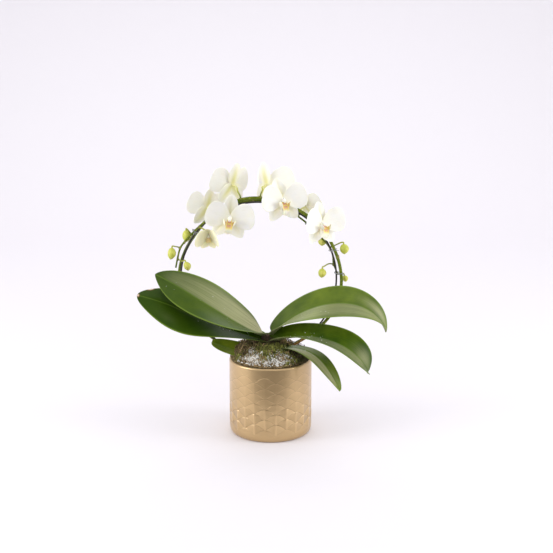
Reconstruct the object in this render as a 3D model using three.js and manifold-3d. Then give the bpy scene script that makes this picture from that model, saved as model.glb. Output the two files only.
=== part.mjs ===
// Potted moth orchid: two flower spikes tied to a wire hoop, in a gold cover pot with a scale relief.
// Millimetres, +Z up, +X to the right of the front view, +Y away from it.
// The origin is the middle of the pot's foot.

import * as THREE from 'three';
import { mergeVertices } from 'three/addons/utils/BufferGeometryUtils.js';
import Module from 'manifold-3d';

const wasm = await Module();
wasm.setup();

// Clearance that pieces keep where they meet
const GAP = 0.35;

// Facets flatter than this are merged where bodies are joined or cut
const SLIVER = 0.1;

// Cover pot: nearly a cylinder, rounded rim and foot
const POT = {
  radius: 65,
  height: 121,
  wall: 4.6,
  floor: 5,
  footRadius: 58,
  columns: 48,
};

// Scale relief on the cover pot: rows of round-topped scales, every other row half a scale on
const SCALES = {
  around: 12,
  turned: 0.25,
  rows: 9,
  pitch: 8.5,
  lowest: 21.7,
  rise: 8,
  raised: 0.35,
  sunk: 0.2,
};

// Inner pot that the plant is sold in: a thin tapered liner with drain holes
const LINER = { topRadius: 57, footRadius: 47, foot: 5.4, top: 115, wall: 1.2, lip: 2, drainRadius: 4 };
const DRAINS = 6;
const DRAIN_CIRCLE = 28;

// Moss mound over the mix
const MOSS = { foot: 115.4, radius: 59.9, edge: 121.4, peak: 20, spread: 46 };

// Crown: the short stem that the leaves clasp
const CROWN = { x: -7, foot: 98, top: 158.5 };

// Hoop: a wire circle that leans a little forward, with both legs in the mix
const HOOP = {
  x: -18.5,
  z: 245,
  radius: 122,
  wire: 1.4,
  backAtFoot: 18,
  lean: 0.023,
  footZ: 128,
  legEnd: 85,
};

const MAIN_SPIKE_RADIUS = 2.5;
const PEDICEL_RADIUS = 1.25;
const TIE_WIRE = 0.8;

const v = (x, y, z) => new THREE.Vector3(x, y, z);
const rad = (degrees) => THREE.MathUtils.degToRad(degrees);

// A closed body through a row of rings with the same number of points. Each end is closed by a
// fan at its mean point, or the last ring joins the first. From column `turned` on, the quads
// are split along the other diagonal, so both faces of a thin blade are split alike.
function skin(rings, { turned = Infinity, loop = false } = {}) {
  const count = rings[0].length;
  const points = rings.flat();
  const index = [];
  const spans = loop ? rings.length : rings.length - 1;
  for (let i = 0; i < spans; i += 1) {
    const next = (i + 1) % rings.length;
    for (let j = 0; j < count; j += 1) {
      const k = (j + 1) % count;
      const a = i * count + j;
      const b = i * count + k;
      const c = next * count + j;
      const d = next * count + k;
      if (j >= turned) {
        index.push(a, b, c, b, d, c);
      } else {
        index.push(a, b, d, a, d, c);
      }
    }
  }
  if (!loop) {
    const mean = (ring) => ring.reduce((sum, p) => sum.add(p), v(0, 0, 0)).divideScalar(count);
    const first = points.push(mean(rings[0])) - 1;
    const last = points.push(mean(rings[rings.length - 1])) - 1;
    const lastRing = (rings.length - 1) * count;
    for (let j = 0; j < count; j += 1) {
      const k = (j + 1) % count;
      index.push(first, k, j, last, lastRing + j, lastRing + k);
    }
  }
  const positions = new Float32Array(points.flatMap((p) => [p.x, p.y, p.z]));
  if (signedVolume(points, index) < 0) {
    index.reverse();
  }
  const geometry = new THREE.BufferGeometry();
  geometry.setAttribute('position', new THREE.BufferAttribute(positions, 3));
  geometry.setIndex(index);
  return geometry;
}

function signedVolume(points, index) {
  let sum = 0;
  for (let i = 0; i < index.length; i += 3) {
    const [a, b, c] = [points[index[i]], points[index[i + 1]], points[index[i + 2]]];
    sum += a.dot(b.clone().cross(c));
  }
  return sum / 6;
}

function solid(geometry) {
  const bare = geometry.clone();
  bare.deleteAttribute('normal');
  bare.deleteAttribute('uv');
  const merged = mergeVertices(bare, 1e-4);
  const vertProperties = new Float32Array(merged.attributes.position.array);
  const triVerts = new Uint32Array(merged.index.array);
  return new wasm.Manifold(new wasm.Mesh({ numProp: 3, vertProperties, triVerts }));
}

function geometryOf(manifold) {
  const mesh = manifold.getMesh();
  const geometry = new THREE.BufferGeometry();
  geometry.setAttribute('position', new THREE.BufferAttribute(new Float32Array(mesh.vertProperties), 3));
  geometry.setIndex(Array.from(mesh.triVerts));
  return geometry;
}

// Joins bodies in one, without the slivers that the joins leave
function joined(pieces) {
  return pieces.slice(1).reduce((sum, piece) => sum.add(piece), pieces[0]).simplify(SLIVER);
}

// Cuts a body and keeps its largest part
function cutBack(body, cutters) {
  const left = cutters.reduce((rest, cutter) => rest.subtract(cutter), body);
  return left.decompose().sort((a, b) => b.volume() - a.volume())[0].simplify(SLIVER);
}

// A round body of revolution from (radius, height) pairs
function turnedRings(profile, columns, x = 0, y = 0) {
  return profile.map(([radius, z]) => Array.from({ length: columns }, (unused, j) => {
    const angle = (2 * Math.PI * j) / columns;
    return v(x + radius * Math.cos(angle), y + radius * Math.sin(angle), z);
  }));
}

// A round rod along a smooth curve through the points. radiusAt gives its radius from 0 to 1.
function rod(points, radiusAt, steps, sides) {
  const curve = new THREE.CatmullRomCurve3(points, false, 'centripetal');
  const frames = curve.computeFrenetFrames(steps, false);
  const rings = Array.from({ length: steps + 1 }, (unused, i) => {
    const centre = curve.getPointAt(i / steps);
    return Array.from({ length: sides }, (alsoUnused, j) => {
      const angle = (2 * Math.PI * j) / sides;
      return centre.clone()
        .addScaledVector(frames.normals[i], radiusAt(i / steps) * Math.cos(angle))
        .addScaledVector(frames.binormals[i], radiusAt(i / steps) * Math.sin(angle));
    });
  });
  return skin(rings);
}

// A thin closed blade on a surface of s, from root to tip, and t, from edge to edge (-1 to 1).
// thicknessAt gives its thickness, laid half on each side of the surface.
function blade(surface, thicknessAt, steps, columns) {
  const step = 1e-3;
  const rings = Array.from({ length: steps + 1 }, (unused, i) => {
    const s = (0.5 - 0.5 * Math.cos((Math.PI * i) / steps)) * 0.5 + (0.5 * i) / steps;
    const upper = [];
    const lower = [];
    for (let j = 0; j <= columns; j += 1) {
      const t = (2 * j) / columns - 1;
      const s0 = Math.max(s - step, step);
      const s1 = Math.min(s + step, 1 - step);
      const along = surface(s1, t).sub(surface(s0, t));
      const across = surface(s, Math.min(t + step, 1)).sub(surface(s, Math.max(t - step, -1)));
      const normal = along.cross(across).normalize();
      const half = thicknessAt(s, t) / 2;
      upper.push(surface(s, t).addScaledVector(normal, half));
      lower.unshift(surface(s, t).addScaledVector(normal, -half));
    }
    return [...upper, ...lower];
  });
  return skin(rings, { turned: columns + 1 });
}

// Width of a leaf or petal along its length: s^a (1 - s)^b, at most 1
function widthAt(s, a, b) {
  const peak = a / (a + b);
  const inside = THREE.MathUtils.clamp(s, 0, 1);
  return (inside ** a * (1 - inside) ** b) / (peak ** a * (1 - peak) ** b);
}

// A parabola through three values: at the root, the middle and the tip
function through([root, middle, tip], s) {
  return root * (1 - s) * (1 - 2 * s) + middle * 4 * s * (1 - s) + tip * s * (2 * s - 1);
}

// Leaf: a spine, a half width, the turn of its face about the spine and the fold along its midrib
const LEAVES = {
  leaf_left_top: {
    spine: [[-11, -1, 158], [-38, -22, 165], [-131, -35, 243], [-176, -32, 263]],
    halfWidth: 39, roll: [8, 37, 70], fold: [35, 18, -8], shape: [0.68, 0.84], steps: 14,
  },
  leaf_left_low: {
    spine: [[-8, -2, 148], [-154, -22, 198], [-119, -35, 208], [-204, -36, 231]],
    halfWidth: 38, roll: [17, 42, 35], fold: [30, -4, -6], shape: [0.7, 0.56], steps: 14,
  },
  leaf_left_small: {
    spine: [[-6, -1, 131], [-34, -2, 125], [-57, -8, 135], [-92, -12, 149]],
    halfWidth: 14, roll: [9, 37, 36], fold: [37, 20, 5], shape: [0.41, 0.37], steps: 8,
  },
  leaf_right_top: {
    spine: [[3, -1, 159], [65, -25, 231], [158, -40, 236], [179, -31, 171]],
    halfWidth: 32, roll: [-18, -35, -31], fold: [38, 9, 39], shape: [0.49, 0.75], steps: 16,
  },
  leaf_right_low: {
    spine: [[1, -3, 146], [42, -22, 173], [130, -65, 173], [150, -53, 112]],
    halfWidth: 31, roll: [-28, -13, -35], fold: [50, 22, 25], shape: [0.62, 0.35], steps: 14,
  },
  leaf_right_small: {
    spine: [[-2, -4, 131], [63, -36, 159], [84, -60, 134], [107, -64, 86]],
    halfWidth: 15, roll: [10, -8, -26], fold: [33, 1, 29], shape: [0.58, 0.54], steps: 10,
  },
};
const LEAF_BASE = 0.34;
const LEAF_CREASE = 0.12;
const LEAF_COLUMNS = 4;
const LEAF_TIP = 0.9;

// Point of a leaf's middle surface. The section is two arms folded up along a rounded crease.
function leafSurface({ spine, halfWidth, roll, fold, shape }, extra = 0) {
  const curve = new THREE.CubicBezierCurve3(...spine.map((p) => v(...p)));
  return (s, t) => {
    const tangent = curve.getTangent(s);
    const level = tangent.clone().cross(v(0, 0, 1)).normalize();
    const lift = level.clone().cross(tangent);
    const turn = rad(through(roll, s));
    const folded = rad(through(fold, s));
    const across = level.clone().multiplyScalar(Math.cos(turn)).addScaledVector(lift, Math.sin(turn));
    const up = lift.clone().multiplyScalar(Math.cos(turn)).addScaledVector(level, -Math.sin(turn));
    const base = LEAF_BASE * (1 - s) ** 3;
    const width = halfWidth * (base + widthAt(s, ...shape) * (1 - base)) + LEAF_TIP + extra;
    const arm = Math.hypot(t, LEAF_CREASE) - LEAF_CREASE;
    return curve.getPoint(s)
      .addScaledVector(across, width * t * Math.cos(folded))
      .addScaledVector(up, width * arm * Math.sin(folded));
  };
}

function leafBlade(leaf, extra = 0) {
  const thicknessAt = (s, t) => 0.9 + 1.5 * (1 - Math.abs(t)) * (1 - 0.5 * s) + 2 * extra;
  return solid(blade(leafSurface(leaf, extra), thicknessAt, leaf.steps, LEAF_COLUMNS));
}

// Place of a flower: middle, the way it faces (yaw to the right of the front, pitch up), its
// roll about that way, how far its upper sepal leans, its size against a full flower 78 mm
// across, how far it is cupped, and how far a half-open one is shut
const FLOWERS = [
  { at: [-62, -14, 347], yaw: 2, pitch: -6, roll: -7, lean: 0, size: 0.98, cup: 13, shut: 0 },
  { at: [-99, 35, 354], yaw: -146, pitch: 4, roll: 10, lean: 0, size: 0.84, cup: 14, shut: 0 },
  { at: [-60, 38, 390], yaw: -142, pitch: 12, roll: 5, lean: 0, size: 0.95, cup: 11, shut: 0 },
  { at: [-5, 38, 389.5], yaw: 142, pitch: 7, roll: -3, lean: -9, size: 0.95, cup: 32, shut: 0 },
  { at: [19, -16, 374.5], yaw: 21, pitch: 4, roll: 3, lean: 14, size: 0.95, cup: 14, shut: 0 },
  { at: [54.5, 35, 357], yaw: 130, pitch: 28, roll: 0, lean: 0, size: 0.76, cup: 20, shut: 0 },
  { at: [79.5, -12, 337.5], yaw: 32, pitch: 6, roll: -2, lean: 12, size: 0.93, cup: 15, shut: 0 },
  { at: [-94, -18, 321], yaw: -3, pitch: -12, roll: 2, lean: 0, size: 0.64, cup: 16, shut: 44 },
];

// Tepals in the flower's own plane: angle from its right, length, half widths of the edge
// that turns on from that angle and of the other one, width exponents, share of the cup, set
// back, and steps along and across
const TEPALS = [
  { angle: 90, length: 38, half: [10, 10], shape: [0.62, 0.62], cupped: 0.3, back: 1.2, grid: [4, 2] },
  { angle: 168, length: 39, half: [19, 22], shape: [0.8, 0.42], cupped: 1, back: -0.6, grid: [5, 4] },
  { angle: 12, length: 39, half: [22, 19], shape: [0.8, 0.42], cupped: 1, back: -0.6, grid: [5, 4] },
  { angle: 233, length: 38, half: [12, 12], shape: [0.55, 0.75], cupped: 0.3, back: 1.2, grid: [4, 2] },
  { angle: 307, length: 38, half: [12, 12], shape: [0.55, 0.75], cupped: 0.3, back: 1.2, grid: [4, 2] },
];
const TEPAL_THICKNESS = 0.9;
const TEPAL_TIP = 0.7;
const RECEPTACLE_LENGTH = 8;

// The flower's own frame: right, up and forward, as seen by who looks at its face
function flowerFrame({ at, yaw, pitch, roll }) {
  const [a, b, r] = [rad(yaw), rad(pitch), rad(roll)];
  const forward = v(Math.sin(a) * Math.cos(b), -Math.cos(a) * Math.cos(b), Math.sin(b));
  const level = v(Math.cos(a), Math.sin(a), 0);
  const lift = forward.clone().cross(level);
  const right = level.clone().multiplyScalar(Math.cos(r)).addScaledVector(lift, Math.sin(r));
  const up = lift.clone().multiplyScalar(Math.cos(r)).addScaledVector(level, -Math.sin(r));
  return new THREE.Matrix4().makeBasis(right, up, forward).setPosition(v(...at));
}

// Point of a tepal: it runs out at its angle, rises with the cup and its edges turn up a little
function tepalSurface(tepal, { size, cup, lean, shut }) {
  const angle = rad(tepal.angle + (tepal.angle === 90 ? lean : 0));
  const slope = Math.tan(rad(cup * tepal.cupped - (tepal.cupped < 1 ? 5 : 0) + shut));
  return (s, t) => {
    const side = t > 0 ? tepal.half[0] : tepal.half[1];
    const width = side * widthAt(s, ...tepal.shape) + TEPAL_TIP + 1.6 * (1 - s) ** 2;
    const reach = tepal.length * Math.cos(rad(shut)) * s;
    const rise = slope * reach + (0.06 * (width * t) ** 2) / Math.max(...tepal.half) - tepal.back;
    return v(
      Math.cos(angle) * reach - Math.sin(angle) * width * t,
      Math.sin(angle) * reach + Math.cos(angle) * width * t,
      rise,
    ).multiplyScalar(size);
  };
}

// Column and receptacle: the hood over the lip in front, and the stalk end behind
function flowerHeart(size) {
  const rings = [[0, 0, -RECEPTACLE_LENGTH, 1.4], [0, 0, -3, 2.4], [0, 0.4, 0.5, 3.4], [0, 0.2, 5, 2.6],
    [0, -0.6, 9, 2.5], [0, -1.6, 11, 1.4]];
  return skin(rings.map(([x, y, z, radius]) => Array.from({ length: 5 }, (unused, j) => {
    const angle = (2 * Math.PI * j) / 5;
    return v(x + radius * Math.cos(angle), y + radius * Math.sin(angle), z).multiplyScalar(size);
  })));
}

function tepalBlades(flower, extra = 0) {
  return TEPALS.map((tepal) => solid(blade(
    tepalSurface(tepal, flower),
    () => TEPAL_THICKNESS + 2 * extra,
    ...tepal.grid,
  )));
}

function perianth(flower) {
  const parts = [...tepalBlades(flower), solid(flowerHeart(flower.size))];
  return joined(parts).transform(flowerFrame(flower).elements);
}

// Lip, in the flower's own frame: a long middle lobe that hangs down, and two side lobes that
// stand up like cupped hands, on a small raised callus
const LIP = {
  middle: {
    spine: [[0, -1, 2.4], [0, -7, 11], [0, -17, 14], [0, -23, 8]],
    half: 4.2,
    shape: [0.5, 0.5],
  },
  side: {
    spine: [[1.2, -6.6, 6], [8, -10, 7], [10.5, -6, 11.5], [8, -1.4, 14.5]],
    half: 3.6,
    shape: [0.6, 0.35],
  },
  sideFace: [0.3, 0.6, -0.5],
  anchor: 2.6,
  anchorAt: 0.86,
  callus: { radius: 2.1, at: [0, -7.4, 7.6] },
  room: [1.14, 1.14, 1.03],
};

// Point of a lobe: `face` is the way its width runs, `hand` is -1 on the left, and the middle
// lobe widens to an anchor near its tip
function lobeSurface({ spine, half, shape }, face, hand, flare, size) {
  const curve = new THREE.CubicBezierCurve3(...spine.map(([x, y, z]) => v(hand * x, y, z)));
  return (s, t) => {
    const anchor = flare * Math.exp(-(((s - LIP.anchorAt) / 0.08) ** 2));
    const width = half * widthAt(s, ...shape) + 1 + anchor;
    return curve.getPoint(s).addScaledVector(face, width * t).multiplyScalar(size);
  };
}

function lip(flower) {
  const { size } = flower;
  const { radius, at } = LIP.callus;
  const [faceX, faceY, faceZ] = LIP.sideFace;
  const thickness = () => TEPAL_THICKNESS;
  const lobes = [
    blade(lobeSurface(LIP.middle, v(1, 0, 0), 1, LIP.anchor, size), thickness, 6, 2),
    ...[-1, 1].map((hand) => blade(
      lobeSurface(LIP.side, v(hand * faceX, faceY, faceZ), hand, 0, size),
      thickness,
      3,
      2,
    )),
    new THREE.OctahedronGeometry(radius).translate(...at).scale(size, size, size),
  ].map(solid);
  const heart = solid(flowerHeart(size)).scale(LIP.room);
  const cut = cutBack(joined(lobes), [heart, ...tepalBlades(flower, GAP)]);
  return cut.transform(flowerFrame(flower).elements);
}

// A place on the hoop's own dial: degrees from the top towards the right, radius and depth
function onDial([degrees, radius, y]) {
  const angle = rad(degrees);
  return v(HOOP.x + radius * Math.sin(angle), y, HOOP.z + radius * Math.cos(angle));
}

const hoopDepth = (z) => HOOP.backAtFoot - HOOP.lean * (z - HOOP.footZ);

// Hoop: left leg, the circle from the left leg over the top to the right one, right leg
function hoopPath(extra) {
  const circle = [];
  for (let degrees = -160; degrees <= 155; degrees += 15) {
    const point = onDial([degrees, HOOP.radius, 0]);
    circle.push(point.setY(hoopDepth(point.z)));
  }
  const leftLeg = [v(-43, 16, HOOP.legEnd - extra), v(-45, 16, 101), v(-50, 17, 118)];
  const rightLeg = [v(26, 17.5, 118), v(23, 16, 101), v(22, 16, HOOP.legEnd - extra)];
  return [...leftLeg, ...circle, ...rightLeg];
}

const hoopRod = (extra = 0) => solid(rod(hoopPath(extra), () => HOOP.wire + extra, 50, 7));

// Spikes: the points by the crown are places, the rest are on the hoop's dial
const SPIKES = {
  spike_right: {
    root: [[-4, 6, 139], [8, 12, 137]],
    dial: [[159, 118.3, 11.5], [144, 120, 9.5], [123, 125, 8], [108, 128, 8], [94, 129.6, 8], [80, 128.6, 8],
      [66, 127.3, 8], [52, 127.8, 8], [36, 126.5, 8], [17, 127.8, 8], [2, 129, 8], [-10, 129.5, 8],
      [-24, 127.3, 8], [-38, 124.5, 7.5], [-46, 124.3, 7], [-53, 126, 7], [-61, 129, 7], [-67, 131.5, 7],
      [-75, 130.5, 7], [-81.5, 130.5, 7]],
    thins: 0.72,
    tip: 1.3,
  },
  spike_left: {
    root: [[-10, 6, 139], [-26, 17, 134], [-46, 22, 131]],
    dial: [[-160, 123.4, 22.8], [-150, 124, 22.5], [-140, 123.2, 22], [-125, 124, 21], [-110, 125, 20.5],
      [-95, 125, 20], [-82, 124.6, 19.5], [-72, 123, 19], [-60, 121.5, 18.5], [-44, 121.6, 18],
      [-30, 122.5, 17.5], [-12, 124, 17.5], [6, 123, 17.5], [22, 119.5, 17], [35, 116, 16], [46, 116.5, 15.5],
      [56, 117.2, 16], [65, 121, 18], [72, 121.6, 18], [79, 119.5, 17], [85, 122.8, 18.6], [87.5, 124, 18.8]],
    thins: 0.5,
    tip: 1.2,
  },
};
const SPIKE_STEPS = 42;

function spikePath({ root, dial }) {
  return [...root.map((p) => v(...p)), ...dial.map(onDial)];
}

// The main stem keeps its full radius to `thins` of its length and then tapers to its tip
function spikeRod(spike, extra = 0) {
  const radiusAt = (u) => {
    const taper = Math.max(0, (u - spike.thins) / (1 - spike.thins));
    return MAIN_SPIKE_RADIUS + (spike.tip - MAIN_SPIKE_RADIUS) * Math.sqrt(taper) + extra;
  };
  return solid(rod(spikePath(spike), radiusAt, SPIKE_STEPS, 6));
}

// Which spike each flower hangs on: its place on the dial and the bend of its stalk
const FLOWER_STALKS = [
  { spike: 'spike_left', from: [-28, 122.6, 17.5], by: [[-26, 114.5, 14], [-24, 111.5, 5]] },
  { spike: 'spike_left', from: [-36, 122, 17.7], by: [[-34.5, 126, 20]] },
  { spike: 'spike_right', from: [-12, 129.3, 8], by: [[-12, 135, 9], [-13, 142, 16]] },
  { spike: 'spike_right', from: [1.5, 129, 8], by: [[1.5, 134, 9], [2.6, 140.5, 15]] },
  { spike: 'spike_right', from: [9, 128.5, 8], by: [[11, 131, 3]] },
  { spike: 'spike_left', from: [31, 117.1, 16.5], by: [[33, 122, 20]] },
  { spike: 'spike_right', from: [41, 127, 8], by: [[42, 130, 3]] },
  { spike: 'spike_right', from: [-47, 124.4, 7], by: [[-46.4, 122.5, -1]] },
];

// Buds: which spike, the bud's axis, length and width, then its stalk's points on the dial
const BUDS = [
  {
    spike: 'spike_left', axis: [0, 0, -1], size: [19, 14],
    stalk: [[-57.5, 121.5, 18.4], [-56, 129, 22.5], [-56.3, 136, 24]],
  },
  {
    spike: 'spike_right', axis: [-0.15, 0, -1], size: [19, 13.2],
    stalk: [[-67, 131.5, 7], [-67.5, 138, 6.5], [-69.2, 143.6, 7]],
  },
  {
    spike: 'spike_right', axis: [0.35, -0.1, -1], size: [14.5, 11.6],
    stalk: [[-75, 130.5, 7], [-75.4, 123, 1], [-75, 117.2, -1]],
  },
  {
    spike: 'spike_left', axis: [0, 0.1, -1], size: [14.8, 13.8],
    stalk: [[54, 117.1, 16], [56, 119.5, 21.5], [57, 118.4, 25]],
  },
  {
    spike: 'spike_left', axis: [0.1, -0.05, -1], size: [16.4, 14.4],
    stalk: [[66, 121.2, 17.6], [66, 131, 16], [65.6, 141, 12], [67, 143.8, 11]],
  },
  {
    spike: 'spike_left', axis: [-0.1, 0, -1], size: [15, 13],
    stalk: [[79, 119.5, 17], [77.6, 112, 13], [78.5, 104, 9], [80, 101.2, 8.5]],
  },
  {
    spike: 'spike_left', axis: [0.25, 0, -1], size: [10.8, 9.2],
    stalk: [[87, 123.8, 18.7], [87.2, 130, 18], [87.9, 134.4, 15]],
  },
];

// A point on a flower's axis, so far behind the end of its receptacle
function behind(flower, distance) {
  const forward = v(0, 0, 1).transformDirection(flowerFrame(flower));
  return v(...flower.at).addScaledVector(forward, -(RECEPTACLE_LENGTH * flower.size + distance));
}

function flowerStalk(number) {
  const { from, by } = FLOWER_STALKS[number];
  const flower = FLOWERS[number];
  const points = [onDial(from), ...by.map(onDial), behind(flower, 5), behind(flower, GAP)];
  return solid(rod(points, () => PEDICEL_RADIUS, 4, 5));
}

// A bud's stalk turns into the bud's axis at its end
function budStalk({ stalk, axis }) {
  const points = stalk.map(onDial);
  const end = points.pop();
  const bend = end.clone().addScaledVector(v(...axis).normalize(), -2.5);
  return solid(rod([...points, bend, end], () => PEDICEL_RADIUS * 0.85, 4, 5));
}

function spike(name) {
  const parts = [spikeRod(SPIKES[name])];
  FLOWER_STALKS.forEach((stalk, number) => {
    if (stalk.spike === name) {
      parts.push(flowerStalk(number));
    }
  });
  parts.push(...BUDS.filter((one) => one.spike === name).map(budStalk));
  return cutBack(joined(parts), [crownBody(GAP)]);
}

// Bud: an egg with three soft seams, hung by its broad end from its stalk
function bud({ stalk, axis, size: [length, width] }) {
  const way = v(...axis).normalize();
  const across = way.clone().cross(v(0, 1, 0)).normalize();
  const third = way.clone().cross(across);
  const end = onDial(stalk[stalk.length - 1]);
  const top = end.addScaledVector(way, GAP);
  const outline = [[0.01, 0.14], [0.12, 0.62], [0.32, 0.93], [0.52, 1], [0.74, 0.84], [0.92, 0.42], [1, 0.1]];
  return solid(skin(outline.map(([along, share]) => Array.from({ length: 6 }, (unused, j) => {
    const angle = (Math.PI * j) / 3;
    const radius = (width / 2) * share * (1 + 0.05 * Math.cos(3 * angle));
    return top.clone()
      .addScaledVector(way, along * length)
      .addScaledVector(across, radius * Math.cos(angle))
      .addScaledVector(third, radius * Math.sin(angle));
  }))));
}

// Ties: a thin wire band drawn tight round the hoop and the stems beside it. Each entry gives
// the place on the dial and the radii of the two stems there.
const TIES = [
  { degrees: -52, right: [125.8, 7, 2.2], left: [121.5, 18.2, 2.3] },
  { degrees: 40, right: [126.8, 8, 2.6], left: [116.2, 15.8, 1.7] },
  { degrees: 68, right: [127.4, 8, 2.6], left: [121.4, 17.7, 1.5] },
  { degrees: 85.5, right: [129.2, 8, 2.6], left: [122.9, 18.6, 1.4] },
];

// The band's path: in each direction the stem that reaches furthest carries it
function tie({ degrees, right, left }) {
  const wireDepth = hoopDepth(onDial([degrees, HOOP.radius, 0]).z);
  const stems = [right, left, [HOOP.radius, wireDepth, HOOP.wire]];
  const rings = Array.from({ length: 16 }, (unused, i) => {
    const angle = (2 * Math.PI * i) / 16;
    const [out, back] = [Math.cos(angle), Math.sin(angle)];
    const reach = ([radius, y, thick]) => radius * out + y * back + thick;
    const [radius, y, thick] = stems.reduce((best, stem) => (reach(stem) > reach(best) ? stem : best));
    const offset = thick + 1.5 * GAP + TIE_WIRE;
    return Array.from({ length: 5 }, (alsoUnused, j) => {
      const turn = (2 * Math.PI * j) / 5;
      const place = offset + TIE_WIRE * Math.cos(turn);
      const centre = onDial([degrees, radius + place * out, y + place * back]);
      const along = v(Math.cos(rad(degrees)), 0, -Math.sin(rad(degrees)));
      return centre.addScaledVector(along, TIE_WIRE * Math.sin(turn));
    });
  });
  return solid(skin(rings, { loop: true }));
}

// Crown: stacked sheaths of old leaves, wider at each of their tops
function crownBody(extra = 0) {
  const profile = [[6.5, CROWN.foot], [7.5, 112], [8.6, 126], [8, 128], [9.2, 139], [8.2, 141], [9, 149],
    [7.6, 152], [6.4, 156.5], [3.6, CROWN.top]];
  const last = profile.length - 1;
  const ends = (i) => (i === last ? extra : 0) - (i === 0 ? extra : 0);
  const fat = profile.map(([radius, z], i) => [radius + extra, z + ends(i)]);
  return solid(skin(turnedRings(fat, 10, CROWN.x, 0)));
}

// Dry root or old sheath on the right, under the right spike
const ROOT_POINTS = [[-1, 4, 127.5], [18, 2, 131.5], [36, 1.5, 140], [56, 2, 152]];

function rootRod(extra = 0) {
  return solid(rod(ROOT_POINTS.map((p) => v(...p)), (u) => 2.3 - 0.7 * u + extra, 8, 6));
}

// Cover pot, from the middle of its inner floor, up inside, over the rim and down outside
function coverPot() {
  const inside = POT.radius - POT.wall;
  const rim = POT.height;
  const inner = [[inside - 4, POT.floor], [inside, POT.floor + 4], [inside, rim - 2.6],
    [inside + 1.4, rim - 0.3], [inside + 3.6, rim - 0.5], [POT.radius, rim - 2.6],
    [POT.radius, rim - 9]];
  const outer = [[POT.radius + 0.1, 14], [POT.radius - 0.4, 7], [POT.radius - 2.2, 2.8],
    [POT.radius - 4.4, 0.7], [POT.footRadius, 0]];
  const relief = [];
  for (let row = SCALES.rows; row >= 0; row -= 1) {
    relief.push(scaleRing(row, 0.4, -SCALES.sunk), scaleRing(row, -0.4, SCALES.raised));
  }
  return solid(skin([
    ...turnedRings(inner, POT.columns),
    ...relief,
    ...turnedRings(outer, POT.columns),
  ]));
}

// The ring just over or just under one row's scalloped edge: each scale's top is a parabola
function scaleRing(row, over, offset) {
  const fade = row > 6 ? 1 - 0.16 * (row - 6) : 1;
  return Array.from({ length: POT.columns }, (unused, j) => {
    const angle = (2 * Math.PI * j) / POT.columns;
    const place = (j * SCALES.around) / POT.columns - SCALES.turned + (row % 2) / 2;
    const fromMiddle = Math.abs(place - Math.round(place));
    const z = SCALES.lowest + row * SCALES.pitch + SCALES.rise * (1 - (2 * fromMiddle) ** 2) + over;
    const radius = POT.radius + 0.1 + offset * fade;
    return v(radius * Math.cos(angle), radius * Math.sin(angle), z);
  });
}

function growPot() {
  const { topRadius, footRadius, foot, top, wall, lip } = LINER;
  const body = solid(skin(turnedRings([
    [20, foot + wall], [footRadius - wall - 2, foot + wall], [footRadius - wall + 0.2, foot + wall + 2],
    [topRadius - wall, top], [topRadius + lip, top], [topRadius + lip, top - 2], [topRadius, top - 2],
    [footRadius, foot + 2], [footRadius - 2, foot],
  ], 24)));
  const drains = Array.from({ length: DRAINS }, (unused, i) => {
    const angle = (2 * Math.PI * i) / DRAINS;
    const hole = new THREE.CylinderGeometry(LINER.drainRadius, LINER.drainRadius, 12, 8).rotateX(Math.PI / 2);
    return solid(hole.translate(DRAIN_CIRCLE * Math.cos(angle), DRAIN_CIRCLE * Math.sin(angle), foot));
  });
  return cutBack(body, drains);
}

// What passes through the moss or stands in the mix, a little fatter than it is
function standing() {
  return [crownBody(GAP), hoopRod(GAP + 0.15)];
}

function pottingMix() {
  const { topRadius, footRadius, foot, top, wall } = LINER;
  const body = solid(skin(turnedRings([
    [footRadius - wall - 2.6, foot + wall + GAP], [footRadius - wall - 0.3, foot + wall + 2.4],
    [topRadius - wall - 0.5, top], [20, top],
  ], 24)));
  return cutBack(body, standing());
}

// Lumps of the moss: a sum of crossed waves
function mossHeight(x, y) {
  const lumps = 1.1 * Math.sin(0.31 * x + 1.7) * Math.sin(0.27 * y + 0.6)
    + 0.8 * Math.sin(0.53 * x - 0.21 * y) + 0.6 * Math.cos(0.17 * x + 0.49 * y);
  const mound = MOSS.peak * Math.exp(-((Math.hypot(x - CROWN.x, y) / MOSS.spread) ** 4));
  return MOSS.edge + mound + lumps;
}

function moss() {
  const rows = [8, 18, 29, 40, 51, MOSS.radius - 0.6];
  const columns = 18;
  const point = (radius, j, z) => {
    const angle = (2 * Math.PI * j) / columns;
    const [x, y] = [radius * Math.cos(angle), radius * Math.sin(angle)];
    return v(x, y, z ?? mossHeight(x, y));
  };
  const ring = (radius, z) => Array.from({ length: columns }, (unused, j) => point(radius, j, z));
  const edge = [ring(MOSS.radius, 117), ring(MOSS.radius - 0.8, MOSS.foot)];
  const body = solid(skin([...rows.map((radius) => ring(radius)), ...edge]));
  const passing = [
    spikeRod(SPIKES.spike_left, GAP + 0.1),
    spikeRod(SPIKES.spike_right, GAP + 0.1),
    rootRod(GAP + 0.1),
    ...Object.values(LEAVES).map((leaf) => leafBlade(leaf, GAP + 0.3)),
  ];
  return cutBack(body, [...standing(), ...passing]);
}

// Finishes: colour, roughness, metalness
const FINISHES = {
  gold: [0xc3a578, 0.38, 0.55],
  liner: [0xd8dcd8, 0.3, 0],
  bark: [0x4a3423, 0.95, 0],
  moss: [0x5b5a2c, 0.95, 0],
  leaf: [0x4f7a2c, 0.35, 0],
  crown: [0x3b2a1c, 0.8, 0],
  root: [0xb07f3a, 0.7, 0],
  wire: [0x1f1a16, 0.4, 0],
  stem: [0x5f7c2e, 0.45, 0],
  petal: [0xf6f4ec, 0.6, 0],
  lip: [0xe9b548, 0.5, 0],
  bud: [0xc6ca62, 0.5, 0],
  tie: [0xb9bdc0, 0.25, 0],
};

const group = new THREE.Group();

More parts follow.
